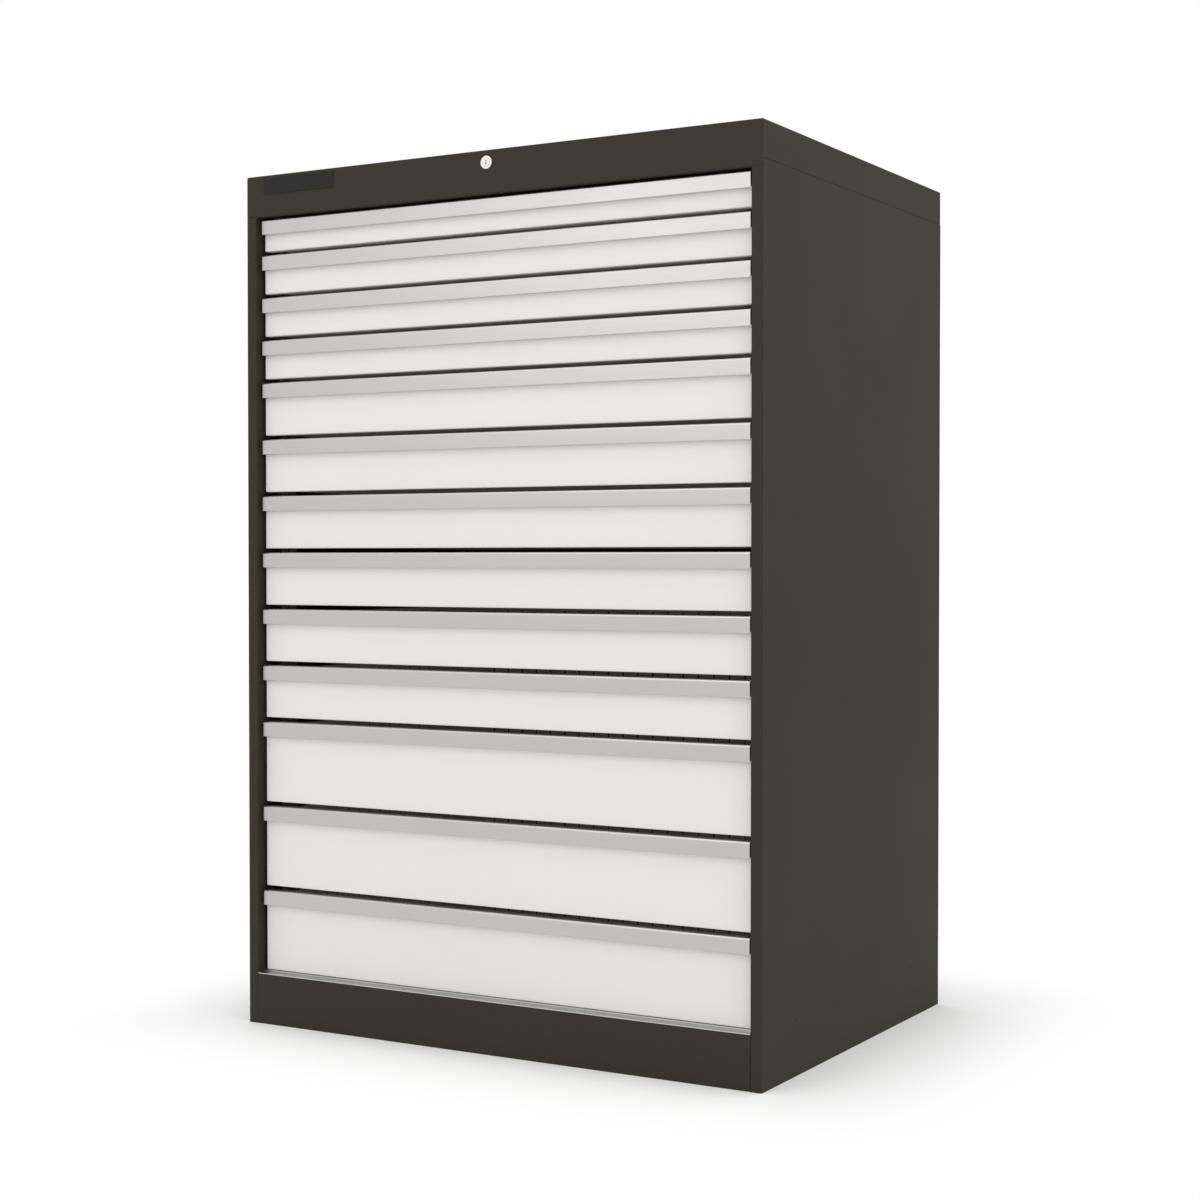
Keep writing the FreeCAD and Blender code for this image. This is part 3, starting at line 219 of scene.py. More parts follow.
def rounded(corners, radius, closed=False, steps=FOLD_STEPS):
    """A line through corners with each turned into an arc: point = centre + (sin((1 - k) t) s + sin(k t) e) /
    sin t, with s and e the arc's ends seen from its centre, t its angle and k from 0 to 1."""
    corners = np.array(corners, float)
    radii = np.broadcast_to(radius, len(corners))
    line = []
    for i, (corner, r) in enumerate(zip(corners, radii)):
        if r <= 0 or (not closed and i in (0, len(corners) - 1)):
            line.append(corner[None])
            continue
        back = corners[i - 1] - corner
        on = corners[(i + 1) % len(corners)] - corner
        back, on = back / np.linalg.norm(back), on / np.linalg.norm(on)
        half = math.acos(np.clip(back @ on, -1, 1)) / 2
        centre = corner + (back + on) / np.linalg.norm(back + on) * r / math.sin(half)
        start, end = (corner + side * r / math.tan(half) - centre for side in (back, on))
        turn = math.pi - 2 * half
        k = np.linspace(0, 1, steps + 1)[:, None]
        line.append(centre + (np.sin((1 - k) * turn) * start + np.sin(k * turn) * end) / math.sin(turn))
    return np.concatenate(line)


def folded(axis, profile, stations):
    """A sheet folded to an open profile and carried along an axis: point = profile(i) across the axis and
    station(j) along it. It faces the left of the profile's way for X and Z, and the right for Y."""
    profile, stations = np.asarray(profile), np.asarray(stations, float)
    points = placed(axis, profile[:, :1], profile[:, 1:], stations[None])
    return points.reshape(-1, 3), [grid_faces(len(profile), len(stations))]


def prism(axis, outline, start, end, hole=None):
    """A closed outline carried from start to end, with both ends filled between the outline and its hole."""
    loops = [np.asarray(outline)] + ([np.asarray(hole)] if hole is not None else [])
    walls = []
    for loop in loops:
        points = placed(axis, loop[:, 0][None], loop[:, 1][None], np.array([[start], [end]]))
        walls.append((points.reshape(-1, 3), [grid_faces(2, len(loop), closed=True)]))
    flat = np.concatenate(loops)
    if hole is None:
        ends = np.arange(len(flat))[None]
    else:
        ends = np.array(tessellate_polygon([[Vector((*point, 0)) for point in loop] for loop in loops]))
    caps = [(placed(axis, flat[:, 0], flat[:, 1], at), [ends]) for at in (start, end)]
    return joined(*walls, *caps)


def ring(low, high, radius, marks):
    """A rounded rectangle, anticlockwise from its lower left corner: point = corner's centre + radius (cos a,
    sin a) for a quarter turn at each corner, and the marks on the straight sides between them."""
    (x0, y0), (x1, y1) = low, high
    xs, ys = (np.sort(np.asarray(values, float)) for values in marks)
    turn = np.linspace(0, math.pi / 2, FOLD_STEPS + 1)

    def corner(x, y, start):
        return np.column_stack([x + radius * np.cos(start + turn), y + radius * np.sin(start + turn)])

    def side(x, y):
        return np.column_stack(np.broadcast_arrays(x, y))

    return np.concatenate(
        [
            corner(x0 + radius, y0 + radius, math.pi),
            side(xs, y0),
            corner(x1 - radius, y0 + radius, 1.5 * math.pi),
            side(x1, ys),
            corner(x1 - radius, y1 - radius, 0),
            side(xs[::-1], y1),
            corner(x0 + radius, y1 - radius, math.pi / 2),
            side(x0, ys[::-1]),
        ]
    )


def shell(low, high, rows, corner, marks=((), ()), filled=True, up="Z"):
    """Rounded rectangles between low and high, joined to a skin. Each row is (inset, height), with one inset
    all round or one each for left, right, front and rear. The first row lies on top, and is filled. Up is Z,
    or -Y for a skin that faces the front."""
    outline = []
    for inset, height in rows:
        left, right, front, rear = np.broadcast_to(inset, 4)
        radius = max(corner - min(left, right, front, rear), 0)
        flat = ring((low[0] + left, low[1] + front), (high[0] - right, high[1] - rear), radius, marks)
        outline.append(np.column_stack([flat, np.full(len(flat), height)]))
    count = len(outline[0])
    points = np.concatenate(outline)
    if up == "-Y":
        points = points[:, (0, 2, 1)] * (1, -1, 1)
    faces = [grid_faces(len(rows), count, closed=True)[:, ::-1]]
    if filled:
        faces.append(np.arange(count)[None])
    return points, faces


def over(radius, height):
    """Rows of a fold from a face down into a side: inset = r (1 - sin t), height = top - r (1 - cos t)."""
    t = np.linspace(0, math.pi / 2, FOLD_STEPS + 1)
    return list(zip(radius * (1 - np.sin(t)), height - radius * (1 - np.cos(t))))


def under(radius, height):
    """Rows of a fold from a side into a flange: inset = r (1 - cos t), height = foot + r (1 - sin t)."""
    t = np.linspace(0, math.pi / 2, FOLD_STEPS + 1)
    return list(zip(radius * (1 - np.cos(t)), height + radius * (1 - np.sin(t))))


def turned(axis, profile, centre, sides, socket=()):
    """A profile of (radius, distance along the axis) turned round it: point = centre + radius g(a) (cos a,
    sin a) across the axis. g is 1, or for a socket's rows a hexagon: cos 30 / cos((a modulo 60) - 30)."""
    radius, along = np.array(profile, float).T[:, :, None]
    angle = np.arange(sides) * 2 * math.pi / sides
    shape = np.ones((len(profile), sides))
    for row in socket:
        shape[row] = math.cos(math.pi / 6) / np.cos(angle % (math.pi / 3) - math.pi / 6)
    points = placed(axis, radius * shape * np.cos(angle), radius * shape * np.sin(angle), along)
    return points.reshape(-1, 3) + centre, [grid_faces(len(profile), sides, closed=True)]


def polygon(centre, radius, sides):
    """A regular outline: point = centre + radius (cos a, sin a)."""
    angle = np.arange(sides) * 2 * math.pi / sides
    return np.column_stack([radius * np.cos(angle), radius * np.sin(angle)]) + centre


def blocks(*boxes):
    """Plates given as (low, high) corners, all in one: each corner takes its x, y and z from either."""
    low, high = np.array(boxes, float).transpose(1, 0, 2)
    pick = np.array([[i & 1, i >> 1 & 1, i >> 2 & 1] for i in range(8)])
    points = np.where(pick[None], high[:, None], low[:, None]).reshape(-1, 3)
    sides = np.array([[0, 2, 3, 1], [4, 5, 7, 6], [0, 1, 5, 4], [2, 6, 7, 3], [0, 4, 6, 2], [1, 3, 7, 5]])
    starts = np.arange(len(boxes)) * 8
    return points, [(sides[None] + starts[:, None, None]).reshape(-1, 4)]


# Objects

CREASE = math.radians(50)  # Edges that turn by more than this are rounded and stay crisp
FLAT = math.radians(0.5)  # Faces that turn by less than this are one
SAME_POINT = 5e-6  # Points nearer than this are one, in metres


def finished(name, mesh, slot, body, nodes, modifiers):
    """Applies a mesh's modifiers, keeps its creases crisp, and puts it on its body in place of its nodes."""
    obj = bpy.data.objects.new(name, mesh)
    bpy.context.scene.collection.objects.link(obj)
    for kind, settings in modifiers:
        modifier = obj.modifiers.new(kind.title(), kind)
        for key, value in settings.items():
            setattr(modifier, key, value)
    bpy.context.view_layer.update()
    made = bpy.data.meshes.new_from_object(obj.evaluated_get(bpy.context.evaluated_depsgraph_get()))
    obj.modifiers.clear()
    obj.data = made
    bpy.data.meshes.remove(mesh)
    made.name = name
    made.shade_smooth()
    made.set_sharp_from_angle(angle=CREASE)
    made.materials.clear()
    made.materials.append(finish(slot))
    weighted = obj.modifiers.new("Flat faces stay flat", "WEIGHTED_NORMAL")
    weighted.keep_sharp = True
    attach(obj, body)
    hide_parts(*nodes)


def merged_mesh(name, points, faces, closed):
    """A mesh without double points. A closed solid's faces are turned outwards."""
    mesh = bpy.data.meshes.new(name)
    mesh.from_pydata(points.tolist(), [], faces)
    work = bmesh.new()
    work.from_mesh(mesh)
    bmesh.ops.remove_doubles(work, verts=work.verts, dist=SAME_POINT)
    bmesh.ops.delete(work, geom=[v for v in work.verts if not v.link_faces], context="VERTS")
    if closed:
        bmesh.ops.recalc_face_normals(work, faces=work.faces)
    work.to_mesh(mesh)
    work.free()
    return mesh


def rounding(width):
    """A narrow bevel along every crease."""
    limits = {"limit_method": "ANGLE", "angle_limit": CREASE, "use_clamp_overlap": True}
    return "BEVEL", {"width": width, "segments": 2, **limits}


def make(name, shape, slot, body, nodes, sheet=0, edge=0, closed=False):
    """An object from a shape. A sheet gets its thickness behind its faces, and edge rounds its creases."""
    points, faces = shape
    mesh = merged_mesh(name, points / 1000, [face for array in faces for face in array.tolist()], closed)
    modifiers = []
    if sheet:
        modifiers.append(("SOLIDIFY", {"thickness": sheet, "offset": -1, "use_even_offset": True}))
    if edge:
        modifiers.append(rounding(edge))
    finished(name, mesh, slot, body, nodes, modifiers)


def dress(node, slot, edge):
    """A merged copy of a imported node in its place, with its flat faces whole again and its edges rounded."""
    source = frame["nodes"][node].data
    points = np.empty(len(source.vertices) * 3)
    source.vertices.foreach_get("co", points)
    name = f"{node}_dressed"
    faces = [list(face.vertices) for face in source.polygons]
    mesh = merged_mesh(name, points.reshape(-1, 3), faces, False)
    work = bmesh.new()
    work.from_mesh(mesh)
    bmesh.ops.dissolve_limit(work, angle_limit=FLAT, verts=work.verts, edges=work.edges)
    work.to_mesh(mesh)
    work.free()
    finished(name, mesh, slot, frame["nodes"][node]["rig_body"], (node,), [rounding(edge)])


# Finishes

COLOUR_A, COLOUR_B = 6, 7  # Inputs of a Mix node for colours


def add(tree, kind, settings=None, inputs=None):
    """Adds a node with its settings, and its inputs by name or number: a value, or the output to link."""
    node = tree.nodes.new(kind)
    for key, value in (settings or {}).items():
        setattr(node, key, value)
    for key, value in (inputs or {}).items():
        if isinstance(value, bpy.types.NodeSocket):
            tree.links.new(value, node.inputs[key])
        else:
            node.inputs[key].default_value = value
    return node


def surface(
    name, base, metallic, roughness, spread, variation, patches, grain, relief, stretch=(1, 1, 1), level=0.5
):
    """A Principled finish on Object coordinates. Spread is the change of roughness and variation that of the
    colour. Patches and grain are sizes in millimetres, and relief is the grain's depth in millimetres.
    Stretch is how often the grain repeats along X, Y and Z, and level the specular level."""
    material = bpy.data.materials.get(name)
    if material:
        return material
    material = bpy.data.materials.new(name)
    material.use_nodes = True
    tree = material.node_tree
    shader = tree.nodes["Principled BSDF"]
    shader.inputs["Metallic"].default_value = metallic
    shader.inputs["Specular IOR Level"].default_value = level
    place = add(tree, "ShaderNodeTexCoord").outputs["Object"]
    wide = add(
        tree,
        "ShaderNodeTexNoise",
        inputs={"Vector": place, "Scale": 1000 / patches, "Detail": 2.0, "Roughness": 0.5},
    )
    along = add(tree, "ShaderNodeMapping", inputs={"Vector": place, "Scale": stretch})
    fine = add(
        tree,
        "ShaderNodeTexNoise",
        inputs={"Vector": along.outputs[0], "Scale": 1000 / grain, "Detail": 3.0, "Roughness": 0.6},
    )
    darker = tuple(channel * (1 - variation) for channel in base)
    lighter = tuple(min(channel * (1 + variation), 1) for channel in base)
    tint = add(
        tree,
        "ShaderNodeMix",
        {"data_type": "RGBA"},
        {0: wide.outputs[0], COLOUR_A: (*darker, 1), COLOUR_B: (*lighter, 1)},
    )
    both = add(tree, "ShaderNodeMath", {"operation": "ADD"}, {0: wide.outputs[0], 1: fine.outputs[0]})
    least, most = 0.6, 1.4  # Nearly all sums of the two noises lie between these
    gloss = add(
        tree,
        "ShaderNodeMapRange",
        inputs={0: both.outputs[0], 1: least, 2: most, 3: roughness - spread, 4: roughness + spread},
    )
    bump = add(
        tree, "ShaderNodeBump", inputs={"Height": fine.outputs[0], "Strength": 0.6, "Distance": relief / 1000}
    )
    tree.links.new(tint.outputs[2], shader.inputs["Base Color"])
    tree.links.new(gloss.outputs[0], shader.inputs["Roughness"])
    tree.links.new(bump.outputs[0], shader.inputs["Normal"])
    return material


def finish(slot):
    """The material of one of the record's slots."""
    colours = bpy.context.scene.cabinet_colours
    if slot == "shell_paint":
        # Matt powder coat baked on steel: its orange peel, about 2.5 mm across, dims its highlights
        look = dict(metallic=0.0, roughness=0.60, spread=0.05, variation=0.05, level=0.1)
        return surface("powder_coat_dark", colours.shell, patches=220, grain=2.5, relief=0.05, **look)
    if slot == "drawer_paint":
        # The same coat in pale grey: satin, almost even in colour
        look = dict(metallic=0.0, roughness=0.50, spread=0.05, variation=0.012, level=0.3)
        return surface("powder_coat_pale", colours.front, patches=260, grain=2.5, relief=0.035, **look)
    if slot == "handle_aluminium":
        # Anodised extrusion: its die lines run along X. They are 0.1 mm wide, drawn at 1.5 mm to show
        look = dict(metallic=1.0, roughness=0.33, spread=0.05, variation=0.03, stretch=(0.02, 1, 1))
        return surface("anodised_aluminium", colours.handle, patches=180, grain=1.5, relief=0.012, **look)
    if slot == "zinc_steel":
        # Bright zinc plate on rolled steel: cloudy, with rolling lines along the cabinet's depth
        look = dict(metallic=1.0, roughness=0.36, spread=0.08, variation=0.08, stretch=(1, 0.04, 1))
        return surface("zinc_plated_steel", colours.zinc, patches=40, grain=1.2, relief=0.01, **look)
    if slot == "bearing_steel":
        # Ground and hardened steel: smooth, with a faint grain
        look = dict(metallic=1.0, roughness=0.22, spread=0.05, variation=0.05)
        return surface("ground_steel", colours.roller, patches=12, grain=0.6, relief=0.004, **look)
    if slot == "lock_metal":
        # Satin nickel plate on a zinc casting: smooth and slightly warm
        look = dict(metallic=1.0, roughness=0.28, spread=0.04, variation=0.04)
        return surface("satin_nickel", colours.lock, patches=14, grain=0.8, relief=0.004, **look)
    if slot == "black_plate":
        # Black moulded plastic: smooth, a little glossier than the paint round it
        look = dict(metallic=0.0, roughness=0.42, spread=0.05, variation=0.2, level=0.3)
        return surface("black_plastic", colours.plate, patches=50, grain=1.5, relief=0.01, **look)
    # Moulded rubber: dull, with a fine matt skin
    look = dict(metallic=0.0, roughness=0.78, spread=0.08, variation=0.15)
    return surface("moulded_rubber", colours.rubber, patches=20, grain=1.0, relief=0.05, **look)


# Places that several pieces share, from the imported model, in millimetres

CAP_LOW, CAP_HIGH = node_box("top_cap")
PANEL_LOW, PANEL_HIGH = node_box("right_side_panel")
FRONT, BACK = CAP_LOW[1], CAP_HIGH[1]
SIDE = CAP_HIGH[0]
DRAWERS = sorted(name for name in frame["nodes"] if name.startswith("drawer_"))

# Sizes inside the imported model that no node's box gives, in millimetres

POST, POST_DEPTH = 20.0, 40.0  # Front post, side to side and front to back
FRONT_GAP = 4.0  # Foot of a drawer's space to the drawer's front
HANDLE_GAP = 3.6  # Handle to the head of the drawer's space
TRAY_SIDE = 451.2  # Outside of the trays, from the middle
TRAY_FRONT, TRAY_BACK = FRONT + 35.0, BACK - 117.6
TRAY_RISE = 5.0  # Foot of the drawer's space to the tray
TRAY_TOP_GAP = 9.0  # Tray to the head of the drawer's space
SLIDE_START = FRONT + 42
SLIDE_RISE = 26.0  # Foot of the drawer's space to the middle of its slides
RAIL_HALF = 20.0  # Half the height of a rail
RAIL_WIDTH = 12.0  # Rail's web to the tips of its flanges
RAIL_BEND = 3.0  # Outer radius of a rail's folds
RAIL_START, RAIL_END = FRONT + 64, BACK - 61
RAIL_OUTSIDE = 480.2  # Webs of the cabinet rails, from the middle
MEMBER_IN, MEMBER_OUT = 464.2, 467.2  # The two faces of a middle member's web, from the middle
MEMBER_ROLLER = 14.7  # Radius of a roller that runs in a middle member
RAIL_ROLLER = 17.7  # Radius of a roller that runs in a rail
ROLLER_PLAY = 1.0  # Roller to the web that carries it
RIM = 1.5  # Flat strip beside a fold, so that the fold's shading stays out of the face


def drawer_place(drawer):
    """The foot and head of a drawer's space: the front stands above the foot, the handle below the head."""
    foot = node_box(drawer)[0][2] - FRONT_GAP
    head = node_box(drawer.replace("drawer", "handle"))[1][2] + HANDLE_GAP
    return foot, head


DRAWERS_TOP = drawer_place(DRAWERS[0])[1]


class CabinetOperator:
    bl_options = {"REGISTER", "UNDO"}

    def execute(self, context):
        self.build(context.scene.cabinet_sizes)
        return {"FINISHED"}


class CABINET_OT_side_panels(CabinetOperator, bpy.types.Operator):
    """Folds the two side panels: front post, side and rear flange from one sheet, and a flange for the cap"""

    bl_idname = "cabinet.side_panels"
    bl_label = "Side Panels"

    def build(self, sizes):
        sheet = sizes.shell_sheet * 1000
        bend = sizes.shell_bend * 1000
        inside = SIDE - sheet
        rear, top = PANEL_HIGH[1], PANEL_HIGH[2]
        post, post_rear = SIDE - POST, FRONT + POST_DEPTH
        rear_flange, cap_flange, flange_ends = 30, 25, (FRONT + 66, BACK - 30.5)
        fold_gap, overlap = 0.5, 0.2
        corners = [
            (SIDE - rear_flange, rear),
            (SIDE, rear),
            (SIDE, FRONT),
            (post, FRONT),
            (post, post_rear),
            (inside - fold_gap, post_rear),
        ]
        right = folded("Z", rounded(corners, bend), (PANEL_LOW[2], DRAWERS_TOP, top))
        over_posts = [
            ((post - NEAR, FRONT - NEAR, DRAWERS_TOP), (SIDE + NEAR, FRONT + bend, top)),
            ((post - NEAR, FRONT - NEAR, DRAWERS_TOP), (inside, post_rear + NEAR, top)),
        ]
        flange = folded("Y", [(SIDE - cap_flange, top), (inside + overlap, top)], flange_ends)
        shape = joined(punched(right, over_posts), flipped(flange))
        for side, form in (("right", shape), ("left", mirrored(shape))):
            make(
                f"{side}_panel_sheet",
                form,
                "shell_paint",
                "housing",
                (f"{side}_side_panel",),
                sheet=sizes.shell_sheet,
                edge=sizes.edge * 0.8,
            )


class CABINET_OT_top_cap(CabinetOperator, bpy.types.Operator):
    """Folds the top cap: a lid whose front reaches down to the posts, with flanges and the lock bar's slot"""

    bl_idname = "cabinet.top_cap"
    bl_label = "Top Cap"

    def build(self, sizes):
        bend = sizes.shell_bend * 1000
        foot, top = PANEL_HIGH[2], CAP_HIGH[2]
        low, high = (-SIDE, FRONT), (SIDE, BACK)
        slot_front, slot_rear = FRONT + 44.5, FRONT + 59.5
        slot_outside, slot_inside, flange = 13.5, 19.5, 25
        front_insets = 10, 18
        marks = ((), (slot_front, slot_rear))

        flange_rows = [((inset, inset, bend, inset), foot) for inset in (slot_outside, slot_inside, flange)]
        rows = [(bend + RIM, top)] + over(bend, top) + under(bend, foot) + flange_rows
        lid = shell(low, high, rows, bend, marks)
        below, above = foot - NEAR, foot + NEAR
        front_foot = ((low[0] - NEAR, FRONT - NEAR, below), (SIDE + NEAR, FRONT + bend + NEAR, foot + bend))
        bar_slot = ((SIDE - slot_inside, slot_front, below), (SIDE - slot_outside, slot_rear, above))

        flange_rows = [((bend, bend, inset, inset), DRAWERS_TOP) for inset in front_insets]
        rows = [(0, foot + bend)] + under(bend, DRAWERS_TOP) + flange_rows
        front = shell(low, high, rows, bend, marks, filled=False)
        behind = ((low[0] - NEAR, FRONT + front_insets[1] + NEAR, 0), (SIDE + NEAR, BACK + NEAR, top))

        shape = joined(punched(lid, [front_foot, bar_slot]), punched(front, [behind]))
        make("cap_sheet", shape, "shell_paint", "housing", ("top_cap",), sheet=sizes.shell_sheet)


class CABINET_OT_plinth(CabinetOperator, bpy.types.Operator):
    """Folds the plinth front between the posts"""

    bl_idname = "cabinet.plinth"
    bl_label = "Plinth"

    def build(self, sizes):
        low, high = node_box("plinth_front")
        seam = 0.25  # The sheet reaches nearly across its joint line at each post
        corners = [(high[1], low[2]), (low[1], low[2]), (low[1], high[2]), (high[1], high[2])]
        profile = rounded(corners, sizes.shell_bend * 1000)
        make(
            "plinth_sheet",
            folded("X", profile, (low[0] - seam, high[0] + seam)),
            "shell_paint",
            "housing",
            ("plinth_front",),
            sheet=sizes.shell_sheet,
            edge=sizes.edge * 0.2,
        )


class CABINET_OT_carcass(CabinetOperator, bpy.types.Operator):
    """Dresses the flat sheets and channels of the housing: back, header, base frame, pan and uprights"""

    bl_idname = "cabinet.carcass"
    bl_label = "Back, Header and Base"

    def build(self, sizes):
        for node in ("back_panel", "header_channel", "base_frame"):
            dress(node, "shell_paint", sizes.edge)
        for node in ("base_pan", "uprights"):
            dress(node, "zinc_steel", sizes.edge)


class CABINET_OT_fasteners(CabinetOperator, bpy.types.Operator):
    """Turns the domed rivets of the sides and the socket screws of back and cap"""

    bl_idname = "cabinet.fasteners"
    bl_label = "Rivets and Screws"

    def build(self, sizes):
        low, high = node_box("side_rivets")
        level = (low[2] + high[2]) / 2
        dome = [(0, 1.0), (0.9, 0.97), (1.8, 0.84), (2.6, 0.56), (3.1, 0.2), (3.2, 0)]
        stem = [(2.1, 0), (2.1, -4), (0, -4)]
        places = [(SIDE, y, level) for y in (FRONT + 126.6, FRONT + 283.1, BACK - 137.3)]
        rivets = copies(turned("X", dome + stem, (0, 0, 0), 24), places)
        make("panel_rivets", both_sides(rivets), "shell_paint", "housing", ("side_rivets",), closed=True)

        head = [(0, 0.5), (1.55, 0.5), (1.6, 1.5), (1.9, 1.6), (2.7, 1.45), (3.4, 1.05), (3.9, 0.45), (4, 0)]
        shank = [(2, 0), (2, -9), (0, -9)]
        socket = 1, 2
        count, end_space, side_space = 6, 45, 15
        levels = end_space + np.arange(count) * (PANEL_HIGH[2] - 2 * end_space) / (count - 1)
        back = turned("Y", head + shank, (0, 0, 0), 24, socket)
        back = copies(back, [(SIDE - side_space, BACK, level) for level in levels])
        end_space, side_space = 150, 13
        foot = PANEL_HIGH[2] - sizes.shell_sheet * 1000
        places = (FRONT + end_space, (FRONT + BACK) / 2, BACK - end_space)
        caps = turned("Z", [(r, -s) for r, s in head + shank], (0, 0, 0), 24, socket)
        caps = copies(caps, [(SIDE - side_space, y, foot) for y in places])
        screws = both_sides(joined(back, caps))
        make("socket_screws", screws, "zinc_steel", "housing", ("panel_screws",), closed=True)


class CABINET_OT_bare_plate(CabinetOperator, bpy.types.Operator):
    """Moulds the bare plate at the top left of the cap"""

    bl_idname = "cabinet.bare_plate"
    bl_label = "Bare Plate"

    def build(self, sizes):
        low, high = node_box("badge_plate")
        corner, edge = 1.2, 0.5
        rows = [(corner, -low[1])] + over(edge, -low[1]) + [(0, -high[1])]
        shape = shell((low[0], low[2]), (high[0], high[2]), rows, corner, up="-Y")
        make("bare_plate", shape, "black_plate", "housing", ("badge_plate",))


class CABINET_OT_lock(CabinetOperator, bpy.types.Operator):
    """Makes the lock: turned housing with its nut, slotted barrel, cam, link, bar and guides"""

    bl_idname = "cabinet.lock"
    bl_label = "Lock"

    def build(self, sizes):
        low, high = node_box("lock_barrel")
        centre = ((low[0] + high[0]) / 2, FRONT, (low[2] + high[2]) / 2)
        bore, outside, face, length = 7.05, 9, 11, 28
        rim = [(bore, -0.7), (7.4, -1), (10.2, -1), (10.75, -0.8), (face, -0.35), (face, 0)]
        case = [(bore, length), *rim, (outside, 0), (outside, length), (bore, length)]
        body = turned("Y", case, centre, 64)
        middle = (centre[0], centre[2])
        nut_corner, nut_bore, nut_front, nut_back = 13, 9.1, FRONT + 1.5, FRONT + 6
        hexagon, hole = polygon(middle, nut_corner, 6), polygon(middle, nut_bore, 32)
        nut = prism("Y", hexagon, nut_front, nut_back, hole)
        make("lock_case", joined(body, nut), "lock_metal", "housing", ("lock_housing",), closed=True)
        dress("lock_barrel", "lock_metal", sizes.edge * 0.6)
        for node in ("lock_cam", "lock_link", "lock_bar", "lock_guides"):
            dress(node, "zinc_steel", sizes.edge)


def roller(radius, outward):
    """A ball-bearing roller on its pin beside a web: chamfered ring, sunk shield, hub and riveted head."""
    collar = [(0, -1), (5.5, -1), (5.5, 0)]
    tread = [(radius - 0.5, 0), (radius, 0.5), (radius, 6.5), (radius - 0.5, 7)]
    ring_wall = [(radius - 2.2, 0), *tread, (radius - 2.4, 7), (radius - 2.6, 6.5)]
    hub = [(7.2, 6.5), (7.0, 7), (5.2, 7)]
    pin_head = [(5.0, 7.5), (3.6, 7.8), (0, 7.8)]
    profile = collar + ring_wall + hub + pin_head
    return turned("X", [(r, outward * s) for r, s in profile], (0, 0, 0), 32)


def rail_section(web, width, middle=0.0):
    """A rail's section: web and two flanges, which point outwards where width is positive, else inwards."""
    half, tips = math.copysign(RAIL_HALF, width), web + width
    corners = [(tips, middle + half), (web, middle + half), (web, middle - half), (tips, middle - half)]
    return rounded(corners, RAIL_BEND)


class CABINET_OT_cabinet_rails(CabinetOperator, bpy.types.Operator):
    """Folds the cabinet rails with their hooks, and adds their rollers and rubber buffers"""

    bl_idname = "cabinet.cabinet_rails"
    bl_label = "Cabinet Rails"

    def build(self, sizes):
        feet = np.array([drawer_place(drawer)[0] for drawer in DRAWERS])
        offsets = np.column_stack([np.zeros_like(feet), np.zeros_like(feet), feet + SLIDE_RISE])
        rail = folded("Y", rail_section(RAIL_OUTSIDE, -RAIL_WIDTH), (RAIL_START, RAIL_END))
        make(
            "cabinet_rail_sheets",
            both_sides(copies(rail, offsets)),
            "zinc_steel",
            "housing",
            ("cabinet_rails",),
            sheet=sizes.rail_sheet,
        )
        hooks = []
        neck, leg, half = RAIL_OUTSIDE + 2.9, RAIL_OUTSIDE + 4.9, 1.5
        top, neck_foot, leg_foot = 6.5, -5, -11
        for upright in (FRONT + 86, FRONT + 668):
            start, end = upright - half, upright + half
            hooks.append(((RAIL_OUTSIDE, start, neck_foot), (neck, end, top)))
            hooks.append(((neck, start, leg_foot), (leg, end, top)))
        make(
            "cabinet_rail_hooks",
            both_sides(copies(blocks(*hooks), offsets)),
            "zinc_steel",
            "housing",
            ("cabinet_rails",),
            closed=True,
        )
        seat = RAIL_OUTSIDE - sizes.rail_sheet * 1000 - ROLLER_PLAY
        wheels = both_sides(copies(roller(MEMBER_ROLLER, -1), offsets + (seat, RAIL_START + RAIL_HALF, 0)))
        make("front_rollers", wheels, "bearing_steel", "housing", ("cabinet_rollers",), closed=True)
        dress("rear_buffers", "black_rubber", sizes.edge * 3)


def member_outline(inner, outer):
    """The section of a middle member: a web with flanges towards the drawer, the cabinet or both."""
    flange, half, sheet, bend = 9.0, 17.0, 2.0, 0.6
    right = [(MEMBER_OUT, -half)]
    if outer:
        tip = MEMBER_OUT + flange
        right = [(tip, -half), (tip, sheet - half), (MEMBER_OUT, sheet - half)]
        right += [(MEMBER_OUT, half - sheet), (tip, half - sheet), (tip, half)]
    else:
        right += [(MEMBER_OUT, half)]
    left = [(MEMBER_IN, half)]
    if inner:
        tip = MEMBER_IN - flange
        left = [(tip, half), (tip, half - sheet), (MEMBER_IN, half - sheet)]
        left += [(MEMBER_IN, sheet - half), (tip, sheet - half), (tip, -half)]
    else:
        left += [(MEMBER_IN, -half)]
    return rounded(right + left, bend, closed=True, steps=2)


class CABINET_OT_slides(CabinetOperator, bpy.types.Operator):
    """Makes the telescopic middle members with a roller at each end"""

    bl_idname = "cabinet.slides"
    bl_label = "Middle Members"

    def build(self, sizes):
        start, end = SLIDE_START, RAIL_END - 12  # Room for the rubber buffers behind
        bay = 40.0  # Length of each end with one flange pair, where the roller sits
        member = joined(
            prism("Y", member_outline(False, True), start, start + bay),
            prism("Y", member_outline(True, True), start + bay, end - bay),
            prism("Y", member_outline(True, False), end - bay, end),
        )
        wheels = joined(
            copies(roller(RAIL_ROLLER, -1), (MEMBER_IN - ROLLER_PLAY, start + bay / 2, 0)),
            copies(roller(RAIL_ROLLER, 1), (MEMBER_OUT + ROLLER_PLAY, end - bay / 2, 0)),
        )
        for drawer in DRAWERS:
            node = drawer.replace("drawer", "slides")
            offset = (0, 0, drawer_place(drawer)[0] + SLIDE_RISE)
            members, rollers = (both_sides(copies(shape, offset)) for shape in (member, wheels))
            make(f"{node}_members", members, "zinc_steel", node, (node,), closed=True)
            make(f"{node}_rollers", rollers, "bearing_steel", node, (node,), closed=True)


